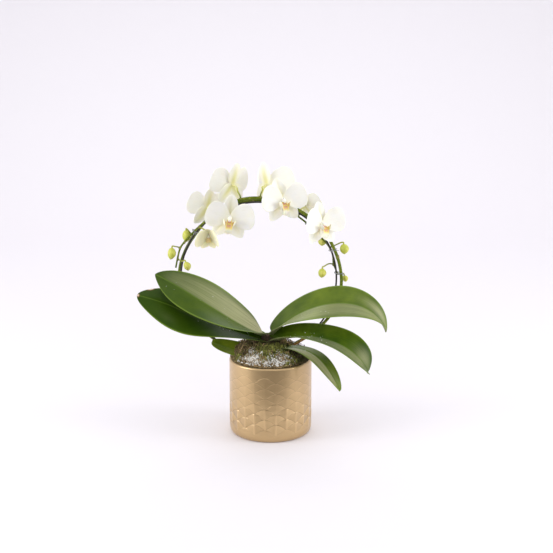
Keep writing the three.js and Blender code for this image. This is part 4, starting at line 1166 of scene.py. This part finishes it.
# Least and greatest height of a flake over the moss; from what distance on a flake lies on the rim, and its
# least height over the pot there and what is added to it at most
FLAKE_HEIGHT = (1.5, 6.5)
RIM_FROM, RIM_HEIGHT = 58, (2.4, 2.5)
MOSS_TINTS = {"brown": (0.12, 0.08, 0.028), "dark": (0.05, 0.042, 0.012), "olive": (0.12, 0.135, 0.02),
              "straw": (0.5, 0.35, 0.17), "bright": (0.38, 0.39, 0.085)}
MOSS = {"foot": 115.4, "radius": 59.9, "edge": 121.4, "peak": 20, "spread": 46}
BED_RINGS, BED_SIDES = 90, 220
# Distances from the pot's axis: where the bed is rounded off and where strands bend down, each from and to,
# and where clumps end
BED_ROUNDED = (55.5, 59.4)
STRANDS_BEND = (58.4, 60.1)
CLUMPS_END = 60.6
# How far strands may reach, over the rim at the most, and the share of them that may
STRAND_REACH = {60.1: 0.5, 61.8: 0.4, 63.4: 0.1}
STRAND_RINGS, STRAND_SIDES = 6, 3
# Each kind of strand: its length, its rise, its thickness and its tint, all from and to
STRANDS = {
    "dry": ((8, 22), (1, 4.5), (0.25, 0.65), (0, 1)),
    "twig": ((12, 26), (5, 15), (0.3, 0.75), (0, 0.7)),
    "brim": ((6, 16), (1, 5), (0.3, 0.75), (0, 1)),
    "drift": ((8, 20), (6, 11), (0.4, 0.8), (0.3, 1)),
    "tuft": ((4, 12), (3, 10.5), (0.35, 0.7), (0, 1)),
}
TWIG_COUNT, BRIM_COUNT, DRIFT_COUNT = 700, 900, 120
# Where the tufts of green moss, the drifts of white flakes and the tangles of brown twigs lie
TUFTS = [(-10, -18), (-6, -26), (-4, -32), (-10, -36), (-2, -40), (6, -20), (20, -18), (40, -26), (46, -16),
         (36, -8), (50, 0), (-42, -24), (-46, -12), (-48, -26), (-52, -2), (-38, -14), (-46, 10), (-34, 26),
         (0, 42), (22, 38), (-54, -12), (-24, 40), (34, -46), (-16, -22), (4, -30), (14, -26), (26, -28),
         (-50, -20), (-44, -4), (-52, 6)]
DRIFTS = [(-42, -36), (-34, -42), (-28, -48), (-26, -38), (-18, -44), (-30, -32), (-22, -52), (-34, -26),
          (-6, -57), (12, -57), (22, -44), (28, -44), (32, -38), (16, -36), (24, -32), (4, -46), (12, -44),
          (-46, -32), (6, 44), (-24, 40), (30, 34)]
TWIGS = [(-56, -10), (-54, -22), (-56, -18), (-50, 12), (-47, -34), (-46, -6), (-50, -30), (-42, 4), (52, 12),
         (56, 0), (48, 20), (54, -14), (46, -30), (20, 2), (-24, 4), (-30, -8), (28, 8), (-10, -12), (0, 50),
         (-30, 44), (34, 40)]


def crown_part():
    """The short stem: stacked dry sheaths. A core is turned from the crown's profile, and each sheath wraps
    three quarters of it, flares at its torn upper edge and overlaps the next."""
    profile = np.array(CROWN_PROFILE, float)
    z = np.linspace(CROWN["foot"], CROWN["top"], CROWN_RINGS)
    angle = circle(CROWN_SIDES)
    rough = 0.35 * np.sin(7 * angle + 0.11 * z[:, None]) + 0.25 * np.sin(17 * angle - 0.05 * z[:, None])
    radius = np.interp(z, profile[:, 1], profile[:, 0])[:, None] - 0.5 + rough
    parts = [skin(turned(radius, angle, z[:, None], CROWN["x"]))]
    rows, columns = SHEATH_GRID
    s, t = grid(np.linspace(0, 1, rows), np.linspace(-1, 1, columns))
    for k, (foot, height, turn) in enumerate(SHEATHS):
        torn = 1 + 0.16 * np.sin(9 * t + 2 * k) + 0.1 * np.sin(23 * t + k)
        level = foot + height * s * np.where(s > 0.7, torn, 1)
        wrap = turn + t * (1.9 - 0.4 * s)
        out = np.interp(level, profile[:, 1], profile[:, 0]) + 0.2 + 1.3 * s**3
        parts.append(slab(turned(out, wrap, level, CROWN["x"]), 0.3, along=s))
    return merged(parts)


def dry_root_part():
    """A dry root: a tapering rod with wrinkles across and folds along it."""
    path = spline(ROOT_POINTS, ROOT_RINGS)
    u = np.linspace(0, 1, ROOT_RINGS)[:, None]
    angle = circle(ROOT_SIDES)
    folds, wrinkles = 0.05 * np.sin(3 * angle + 9 * u), 0.035 * np.sin(150 * u + angle)
    radius = (2.3 - 0.7 * u) * (0.94 + folds + wrinkles)
    rings = sections(path, 1.0, ROOT_SIDES) - path[:, None]
    return skin(path[:, None] + rings * radius[..., None], along=u[:, 0])


def moss_height(x, y):
    """The moss mound: a level bed with a flat-topped bell round the crown, which falls off by the fourth
    power of the distance, and with crossed waves for its lumps."""
    lumps = (1.1 * np.sin(0.31 * x + 1.7) * np.sin(0.27 * y + 0.6) + 0.8 * np.sin(0.53 * x - 0.21 * y)
             + 0.6 * np.cos(0.17 * x + 0.49 * y))
    return MOSS["edge"] + MOSS["peak"] * bell((np.hypot(x - CROWN["x"], y) / MOSS["spread"]) ** 2, 1) + lumps


def moss_bed_part():
    """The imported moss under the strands: the mound with finer waves and a rounded edge, closed by a level
    underside."""
    radius = np.linspace(1, MOSS["radius"] + 0.3, BED_RINGS)[:, None]
    angle = circle(BED_SIDES)
    x, y = radius * np.cos(angle), radius * np.sin(angle)
    fine = 0.5 * np.sin(1.9 * x + 0.7 * y) * np.sin(1.3 * y - 0.4 * x)
    fine += 0.3 * np.sin(3.1 * x) * np.sin(2.7 * y)
    level = moss_height(x, y) + fine * step_up(MOSS["radius"] - radius, 0, 4) - 0.6
    rounded = level - (level - MOSS["edge"]) * step_up(radius, *BED_ROUNDED)
    top = np.stack([x, y, rounded], axis=-1)
    low = np.stack([x[::-1], y[::-1], np.full_like(x, MOSS["foot"])], axis=-1)[::6]
    return skin(np.concatenate([top, low]))


def strands_part(spots, random, length, lift, thickness, tints):
    """Many fine strands. Each starts at a spot, runs over the moss in a bent line and rises in a low arch;
    its section is three-sided and thins to both ends. At the edge it bends down, and half of them may
    reach over the rim. Strands round the crown and under the right leaves are darkened by painted shade."""
    count = len(spots[0])
    steps = np.linspace(0, 1, STRAND_RINGS)
    heading = random.uniform(0, TURN, count)
    bend = random.normal(0, 1.1, count)
    run = random.uniform(*length, count)
    rise = random.uniform(*lift, count)
    direction = heading[:, None] + bend[:, None] * steps
    leg = run[:, None] / (STRAND_RINGS - 1) * np.stack([np.cos(direction), np.sin(direction)])
    x, y = (start[:, None] + np.cumsum(step, axis=1) - step for start, step in zip(spots, leg))
    limit = random.choice([*STRAND_REACH], count, p=[*STRAND_REACH.values()])[:, None]
    hold = np.minimum(1, limit / np.hypot(x, y))
    x, y = x * hold, y * hold
    arch = np.sin(math.pi * steps ** random.uniform(0.6, 1.6, (count, 1)))
    z = moss_height(x, y) - 0.2 + rise[:, None] * arch
    drop = z - POT["height"] - random.uniform(1.0, 3.0, (count, 1))
    z -= drop * step_up(np.hypot(x, y), *STRANDS_BEND)
    path = np.stack([x, y, z], axis=-1)
    way = unit(np.gradient(path, axis=1))
    first = unit(np.cross(way, UP))
    thick = random.uniform(*thickness, count)[:, None] * (0.35 + 0.65 * np.sin(math.pi * (0.1 + 0.8 * steps)))
    round_about = ring(STRAND_SIDES, first[:, :, None], np.cross(way, first)[:, :, None])
    rings = path[:, :, None] + thick[..., None, None] * round_about
    one = np.arange(STRAND_RINGS * STRAND_SIDES).reshape(STRAND_RINGS, STRAND_SIDES)
    shape = quads_of(np.hstack([one, one[:, :1]]))
    ends = np.array([one[0], one[-1, ::-1]])
    offset = one.size * np.arange(count)[:, None, None]
    # Painted shade: strands round the crown and under the right leaves get a low tint
    near_crown = step_up(-np.hypot(spots[0] - CROWN["x"], spots[1]), -28, -16)
    shaded = np.maximum(step_up(spots[0], 30, 44), near_crown)
    tint = np.repeat(random.uniform(*tints, count) * (1 - 0.85 * shaded), one.size)
    return Part(rings, (offset + shape).reshape(-1, 4), (offset + ends).reshape(-1, 3), tint=tint)


def granules_part(centres, radius, random):
    """Many loose granules, each an eight-sided lump with its corners pushed in and out, turned at random."""
    count = len(centres)
    corners = np.array([(1, 0, 0), (-1, 0, 0), (0, 1, 0), (0, -1, 0), (0, 0, 1), (0, 0, -1)], float)
    faces = np.array([(0, 2, 4), (2, 1, 4), (1, 3, 4), (3, 0, 4), (2, 0, 5), (1, 2, 5), (3, 1, 5), (0, 3, 5)])
    w, x, y, z = unit(random.normal(size=(count, 4))).T
    turn = np.array([[1 - 2 * (y * y + z * z), 2 * (x * y - z * w), 2 * (x * z + y * w)],
                     [2 * (x * y + z * w), 1 - 2 * (x * x + z * z), 2 * (y * z - x * w)],
                     [2 * (x * z - y * w), 2 * (y * z + x * w), 1 - 2 * (x * x + y * y)]]).transpose(2, 0, 1)
    size = random.uniform(*radius, (count, 1, 1)) * random.uniform(0.55, 1.25, (count, 6, 1))
    squash = random.uniform(0.45, 1.0, (count, 1, 3))
    points = centres[:, None] + (corners * size * squash) @ turn
    return Part(points, (), (6 * np.arange(count)[:, None, None] + faces).reshape(-1, 3))


def spread(count, random, inner=9.0, outer=60.0):
    """Places spread evenly over the ring between the crown and the rim."""
    radius = np.sqrt(random.uniform((inner / outer) ** 2, 1, count)) * outer
    angle = random.uniform(0, TURN, count)
    return radius * np.cos(angle), radius * np.sin(angle)


def clumps(count, random, centres, size):
    """Places in clumps: each lies near one of the centres, by a bell of the given size."""
    centre = np.array(centres, float)[random.integers(0, len(centres), count)]
    x, y = centre[:, 0] + random.normal(0, size, count), centre[:, 1] + random.normal(0, size, count)
    hold = np.minimum(1, CLUMPS_END * random.uniform(0.84, 1, count) / np.hypot(x, y))
    return x * hold, y * hold


def moss_bed_brown():
    """Moss bed: brown and nearly black in small patches, flecked with straw, deeply pitted."""
    f = Finish("moss_bed")
    patches, fine = f.noise(95, 4, 0.65), f.noise(700, 4, 0.7)
    tone = f.blend(f.span(patches, 0.4, 0.62), MOSS_TINTS["brown"], MOSS_TINTS["dark"])
    tone = f.blend(f.span(fine, 0.45, 0.65, 0, 0.8), tone, MOSS_TINTS["straw"])
    return f.done(Base_Color=tone, Roughness=0.95, Normal=f.bump(fine, 0.002, 0.9))


def strand_finish(name, first, second):
    """Strands: each has its own tint between two colours and turns nearly dark where the tint is low, as
    painted shade makes it round the crown and under the right leaves.
    """
    f = Finish(name)
    tint = f.painted("tint")
    tone = f.blend(f.span(tint, 0.2, 0.8), MOSS_TINTS[first], MOSS_TINTS[second])
    # Low tints turn nearly dark, which is the painted shade round the crown and under the right leaves
    tone = f.blend(f.span(tint, 0.16, 0.02, 0, 0.8), tone, MOSS_TINTS["dark"])
    tone = f.blend(f.span(f.noise(240, 3, 0.6), 0.4, 0.7, 0, 0.5), tone, MOSS_TINTS["dark"])
    return f.done(Base_Color=tone, Roughness=0.85, Normal=f.bump(f.noise(1800, 2, 0.5), 0.0002, 0.4))


def white_granule(color):
    """Flakes: chalky white with grey hollows."""
    f = Finish("white_granule")
    fine = f.noise(1300, 3, 0.6)
    tone = f.blend(f.span(fine, 0.35, 0.65), toned(color, 0.8), color)
    return f.done(Base_Color=tone, Roughness=0.85, Normal=f.bump(fine, 0.0004, 0.5))


def dry_skin(name):
    """Dry plant skin: fibres along Z between a dark and a light brown."""
    dark, light, scale, rough = DRY_SKINS[name]
    f = Finish(name)
    fibres = f.noise(scale, 4, 0.65, vector=f.stretched(1, 1, 0.18))
    patches = f.noise(scale * 0.2, 3, 0.5)
    tone = f.blend(f.span(fibres, 0.35, 0.68), dark, light)
    tone = f.blend(f.span(patches, 0.5, 0.7, 0, 0.5), tone, dark)
    return f.done(Base_Color=tone, Roughness=rough, Normal=f.bump(fibres, 0.0006, 0.6))


def liner_plastic():
    """Grow pot: thin cloudy plastic with faint flow lines."""
    f = Finish("liner_plastic")
    flow = f.noise(60, 2, 0.4, vector=f.stretched(1, 1, 0.1))
    tone = f.blend(flow, *LINER_GREYS)
    return f.done(Base_Color=tone, Roughness=f.span(flow, 0.3, 0.7, 0.25, 0.4), Transmission_Weight=0.3,
                  Normal=f.bump(flow, 0.0002, 0.3))


# The stage in metres. Soft boxes: place, width and height, and share of the key light's power
STUDIO = {
    "left_box": ((-1.5, -0.5, 0.55), (0.8, 0.95), 1.0),
    "right_box": ((1.5, -0.35, 0.55), (0.7, 0.95), 0.85),
    "front_box": ((0.1, -2.3, 1.7), (1.4, 0.9), 0.5),
    "back_box": ((0.0, 1.9, 1.8), (2.4, 1.0), 1.0),
}
LIGHTS_AIM = (0, 0, 0.2)
AIR_COLOR = (0.97, 0.97, 1)
CAMERA_PLACE = (0.009489, -1.8652, 0.70304)
# The floor runs level from the front, bends up by a quarter circle and ends as the backdrop's wall. The three
# lengths take up their shares of its rows.
FLOOR = {"half": 6.0, "front": -0.46, "level": 1.96, "bend": 1.2, "wall": 3, "rows": 60}
FLOOR_SHARES = {"level": 0.45, "bend": 0.25, "wall": 0.3}
# Dark cards for the pot to mirror: one lies and stands far in front, and one lies near the pot
FELT_GREYS = ((0.03, 0.026, 0.024), (0.05, 0.045, 0.04))
DARK_CARD = [(-0.9, -0.48, 0), (0.9, -0.48, 0), (0.9, -3.2, 0), (-0.9, -3.2, 0), (-0.9, -3.2, 2),
             (0.9, -3.2, 2)]
DARK_EDGE = [(-0.5, -0.22, 0.002), (0.5, -0.22, 0.002), (0.5, -0.5, 0.002), (-0.5, -0.5, 0.002)]


def stage_floor():
    """Points and faces of the floor: along each of its three lengths the rows are at equal steps."""
    level, bend, wall = FLOOR_SHARES.values()
    u = np.linspace(0, 1, FLOOR["rows"])[:, None] * np.ones(2)
    angle = np.clip((u - level) / bend, 0, 1) * math.pi / 2
    radius, back = FLOOR["bend"], FLOOR["front"] + FLOOR["level"]
    x = np.broadcast_to([-FLOOR["half"], FLOOR["half"]], u.shape)
    y = np.where(u < level, FLOOR["front"] + u / level * FLOOR["level"], back + radius * np.sin(angle))
    z = radius * (1 - np.cos(angle)) + np.clip(u - level - bend, 0, None) / wall * FLOOR["wall"]
    faces = quads_of(np.arange(u.size).reshape(u.shape))[:, ::-1]
    return np.stack([x, y, z], axis=-1).reshape(-1, 3).tolist(), faces.tolist()


def stage_paper(color, glow):
    """Floor and backdrop: faintly grained paper with a little light of its own."""
    f = Finish("stage_paper")
    tone = f.blend(f.noise(40, 3, 0.5), color, toned(color, 0.99))
    return f.done(Base_Color=tone, Roughness=0.9, Specular_IOR_Level=0.1, Emission_Color=tone,
                  Emission_Strength=glow)


def dark_felt():
    """Cards: nearly black felt."""
    f = Finish("dark_felt")
    return f.done(Base_Color=f.blend(f.noise(300, 2, 0.5), *FELT_GREYS), Roughness=1.0)


# What a user would change


def color_setting(title, text, default):
    return FloatVectorProperty(name=title, description=text, default=default, subtype="COLOR", size=3,
                               min=0, max=1)


def number_setting(title, text, default, **limits):
    return FloatProperty(name=title, description=text, default=default, **limits)


def count_setting(title, text, default):
    return IntProperty(name=title, description=text, default=default, min=0)


class OrchidPotSettings(PropertyGroup):
    """The cover pot."""

    glaze: color_setting("Glaze", "Colour of the gold glaze", (0.568, 0.396, 0.199))
    relief: number_setting("Relief", "Depth of the scale relief against the solid's own", 1.0, min=0, max=2,
                           subtype="FACTOR")


class OrchidLeafSettings(PropertyGroup):
    """The leaves."""

    green: color_setting("Green", "Main colour of the upper face", (0.12, 0.185, 0.006))
    # The deep green is also the colour that painted shade darkens a leaf towards
    deep: color_setting("Deep green", "Darker clouds and the leaf's foot", (0.018, 0.055, 0.001))
    # The margin is partly the leaf's own pale edge and partly painted light through it
    margin: color_setting("Margin", "Pale line along the edge", (0.2, 0.3, 0.03))
    # The bloom colour is the painted reflection and painted sheen highlight of the leaves, and lightens the
    # underside in streaks
    bloom: color_setting("Bloom", "Waxy tint of the paler halves", (0.56, 0.54, 0.3))


class OrchidFlowerSettings(PropertyGroup):
    """The flowers and their lips."""

    white: color_setting("Petals", "White of the petals", (0.965, 0.94, 0.87))
    yellow: color_setting("Yellow", "Yellow of the lip", (0.9, 0.75, 0.19))
    red: color_setting("Red", "Red-orange of the throat", (0.58, 0.18, 0.08))


class OrchidStemSettings(PropertyGroup):
    """The spikes, the buds and what holds them."""

    green: color_setting("Stem", "Green of the spikes", (0.13, 0.17, 0.01))
    bud: color_setting("Bud", "Yellow-green of the buds", (0.64, 0.61, 0.12))
    wire: color_setting("Wire", "Coating of the hoop", (0.018, 0.013, 0.01))


class OrchidMossSettings(PropertyGroup):
    """The moss and what lies on it."""

    strands: count_setting("Strands", "Dry strands of moss", 3600)
    tufts: count_setting("Tufts", "Green strands in tufts", 3200)
    flakes: count_setting("Flakes", "White flakes", 2500)


class OrchidStageSettings(PropertyGroup):
    """Camera, floor and light."""

    lens: number_setting("Lens", "Focal length of the camera", 80.27, unit="CAMERA")
    tilt: number_setting("Tilt", "Camera's tilt from straight down", math.radians(76.4), subtype="ANGLE")
    floor: color_setting("Floor", "Colour of the floor", (0.79, 0.765, 0.795))
    key: number_setting("Key", "Power of the strongest soft box", 13, unit="POWER")
    air: number_setting("Air", "Even light from all round", 0.95, min=0)
    glow: number_setting("Glow", "Light of the backdrop's own", 0.05, min=0)


def picked(settings, *names):
    """The named colours of the settings."""
    return {name: tuple(getattr(settings, name)) for name in names}


SETTINGS = {
    "orchid_pot": OrchidPotSettings,
    "orchid_leaves": OrchidLeafSettings,
    "orchid_flowers": OrchidFlowerSettings,
    "orchid_stems": OrchidStemSettings,
    "orchid_moss": OrchidMossSettings,
    "orchid_stage": OrchidStageSettings,
}


# Operators


class ORCHID_OT_pot(Operator):
    """Add the gold cover pot and finish the grow pot inside it"""

    bl_idname = "orchid.pot"
    bl_label = "Pot"

    def execute(self, context):
        settings = context.scene.orchid_pot
        glaze = gold_glaze(tuple(settings.glaze))
        make_piece("glazed_pot", pot_part(settings.relief), glaze, "gold_glaze", "cover_pot")
        for node, finish in {"grow_pot": liner_plastic(), "potting_mix": dry_skin("bark_chips")}.items():
            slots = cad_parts[node].data.materials
            slots.clear()
            slots.append(finish)
        return {"FINISHED"}


class ORCHID_OT_leaves(Operator):
    """Add the six leaves and the dust on them"""

    bl_idname = "orchid.leaves"
    bl_label = "Leaves"

    def execute(self, context):
        colors = picked(context.scene.orchid_leaves, "green", "deep", "margin", "bloom") | LEAF_TINTS
        glosses = sorted({leaf["gloss"] for leaf in LEAVES.values()})
        finishes = {gloss: leaf_green(colors, gloss) for gloss in glosses}
        for name, leaf in LEAVES.items():
            part = leaf_part(leaf)
            part.paint |= leaf_paint(name, part.paint["along"], part.paint["across"])
            make_piece("blade_" + name[5:], part, finishes[leaf["gloss"]], "leaf", name)
        random = np.random.default_rng(5)
        specks = merged([dust_part(name, random) for name in DUST])
        make_piece("leaf_dust", specks, white_granule(DUST_WHITE), "moss")
        return {"FINISHED"}


class ORCHID_OT_flowers(Operator):
    """Add the eight flowers and their lips"""

    bl_idname = "orchid.flowers"
    bl_label = "Flowers"

    def execute(self, context):
        colors = picked(context.scene.orchid_flowers, "white", "yellow", "red")
        petals, lips = petal_white(colors | PETAL_TINTS), lip_colors(colors | LIP_TINTS)
        for number, flower in enumerate(FLOWERS, 1):
            part = perianth_part(flower, number)
            young = flower["shut"] > 0
            part.paint["green"] = np.full(len(part.points), 0.9 * young)
            make_piece(f"bloom_{number}", part, petals, "petal", f"flower_{number}")
            lip = lip_part(flower)
            lip.paint["young"] = np.full(len(lip.points), 1.0 * young)
            make_piece(f"throat_{number}", lip, lips, "lip", f"lip_{number}")
        return {"FINISHED"}


class ORCHID_OT_stems(Operator):
    """Add the spikes, the buds, the hoop and the ties"""

    bl_idname = "orchid.stems"
    bl_label = "Stems, buds and hoop"

    def execute(self, context):
        settings = context.scene.orchid_stems
        stem = stem_green(picked(settings, "green") | STEM_TINTS)
        for name in SPIKES:
            make_piece("stem_" + name[6:], spike_part(name), stem, "stem", name)
        tepals = bud_green(BUD_TINTS | {"yellow": tuple(settings.bud)})
        for number, bud in enumerate(BUDS, 1):
            make_piece(f"closed_bud_{number}", bud_part(bud), tepals, "bud", f"bud_{number}")
        wire = coated_wire(tuple(settings.wire))
        make_piece("hoop_wire", tube(hoop_path(), HOOP["wire"], HOOP["sides"]), wire, "wire", "hoop")
        plastic = clear_tie(TIE_GREY)
        for number, tie in enumerate(TIES, 1):
            make_piece(f"wire_tie_{number}", tie_part(tie), plastic, "tie", f"tie_{number}")
        return {"FINISHED"}


class ORCHID_OT_crown(Operator):
    """Add the crown's dry sheaths and the dry root"""

    bl_idname = "orchid.crown"
    bl_label = "Crown"

    def execute(self, context):
        make_piece("sheaths", crown_part(), dry_skin("dry_sheath"), "crown", "crown")
        make_piece("root_strand", dry_root_part(), dry_skin("tan_root"), "root", "dry_root")
        return {"FINISHED"}


class ORCHID_OT_moss(Operator):
    """Add the moss bed, its strands and tufts, and the white flakes"""

    bl_idname = "orchid.moss"
    bl_label = "Moss"

    def execute(self, context):
        settings = context.scene.orchid_moss
        random = np.random.default_rng(11)
        make_piece("moss_bed", moss_bed_part(), moss_bed_brown(), "moss", "moss")
        dry = [
            strands_part(spread(settings.strands, random), random, *STRANDS["dry"]),
            strands_part(clumps(TWIG_COUNT, random, TWIGS, 5), random, *STRANDS["twig"]),
            strands_part(spread(BRIM_COUNT, random, 57.5, 60.5), random, *STRANDS["brim"]),
            strands_part(clumps(DRIFT_COUNT, random, DRIFTS, 7), random, *STRANDS["drift"]),
        ]
        make_piece("moss_strands", merged(dry), strand_finish("dry_strand", "brown", "straw"), "moss")
        green = strands_part(clumps(settings.tufts, random, TUFTS, 5.5), random, *STRANDS["tuft"])
        make_piece("moss_tufts", green, strand_finish("green_strand", "olive", "bright"), "moss")
        x, y = clumps(settings.flakes, random, DRIFTS, 4.4)
        flakes = np.stack([x, y, moss_height(x, y) + random.uniform(*FLAKE_HEIGHT, len(x))], axis=1)
        on_rim = np.hypot(x, y) > RIM_FROM
        least, more = RIM_HEIGHT
        flakes[on_rim, 2] = POT["height"] + least + random.uniform(0, more, on_rim.sum())
        granules = granules_part(flakes, FLAKE_RADIUS, random)
        make_piece("white_flakes", granules, white_granule(FLAKE_WHITE), "moss")
        return {"FINISHED"}


class ORCHID_OT_stage(Operator):
    """Add the floor that runs up into the backdrop, the dark cards, the lights and the camera"""

    bl_idname = "orchid.stage"
    bl_label = "Stage"

    def execute(self, context):
        settings = context.scene.orchid_stage
        floor = sheet("floor", *stage_floor(), stage_paper(tuple(settings.floor), settings.glow))
        floor.data.polygons.foreach_set("use_smooth", np.ones(len(floor.data.polygons), bool))
        felt = dark_felt()
        card = sheet("dark_card", DARK_CARD, [(3, 2, 1, 0), (5, 2, 3, 4)], felt)
        card.visible_camera = False
        edge = sheet("dark_edge", DARK_EDGE, [(3, 2, 1, 0)], felt)
        edge.visible_camera = edge.visible_diffuse = edge.visible_shadow = False
        world = bpy.data.worlds.new("studio")
        world.use_nodes = True
        air = world.node_tree.nodes["Background"].inputs
        air["Color"].default_value = (*AIR_COLOR, 1)
        air["Strength"].default_value = settings.air
        context.scene.world = world
        for name, (place, size, share) in STUDIO.items():
            lamp = bpy.data.lights.new(name, "AREA")
            lamp.shape = "RECTANGLE"
            lamp.energy = share * settings.key
            lamp.size, lamp.size_y = size
            light = linked(name, lamp)
            light.location = place
            x, y, z = np.subtract(LIGHTS_AIM, place)
            light.rotation_euler = (math.atan2(math.hypot(x, y), -z), 0, math.atan2(-x, y))
        data = bpy.data.cameras.new("camera")
        data.lens = settings.lens
        camera = linked("camera", data)
        camera.location = CAMERA_PLACE
        camera.rotation_euler = (settings.tilt, 0, 0)
        context.scene.camera = camera
        context.scene.view_settings.view_transform = "Standard"
        return {"FINISHED"}


OPERATORS = [ORCHID_OT_pot, ORCHID_OT_leaves, ORCHID_OT_flowers, ORCHID_OT_stems, ORCHID_OT_crown,
             ORCHID_OT_moss, ORCHID_OT_stage]


class ORCHID_PT_pieces(Panel):
    """The orchid's pieces and their settings."""

    bl_label = "Potted Moth Orchid"
    bl_idname = "ORCHID_PT_pieces"
    bl_space_type = "VIEW_3D"
    bl_region_type = "UI"
    bl_category = "Orchid"

    def draw(self, context):
        for operator in OPERATORS:
            self.layout.operator(operator.bl_idname)
        for name, group in SETTINGS.items():
            box = self.layout.box()
            for setting in group.__annotations__:
                box.prop(getattr(context.scene, name), setting)


def register():
    for kind in [*SETTINGS.values(), *OPERATORS, ORCHID_PT_pieces]:
        bpy.utils.register_class(kind)
    for name, group in SETTINGS.items():
        setattr(bpy.types.Scene, name, PointerProperty(type=group))


def unregister():
    for name in SETTINGS:
        delattr(bpy.types.Scene, name)
    for kind in reversed([*SETTINGS.values(), *OPERATORS, ORCHID_PT_pieces]):
        bpy.utils.unregister_class(kind)


def main():
    register()
    for operator in OPERATORS:
        family, name = operator.bl_idname.split(".")
        getattr(getattr(bpy.ops, family), name)()


if __name__ == "__main__":
    main()
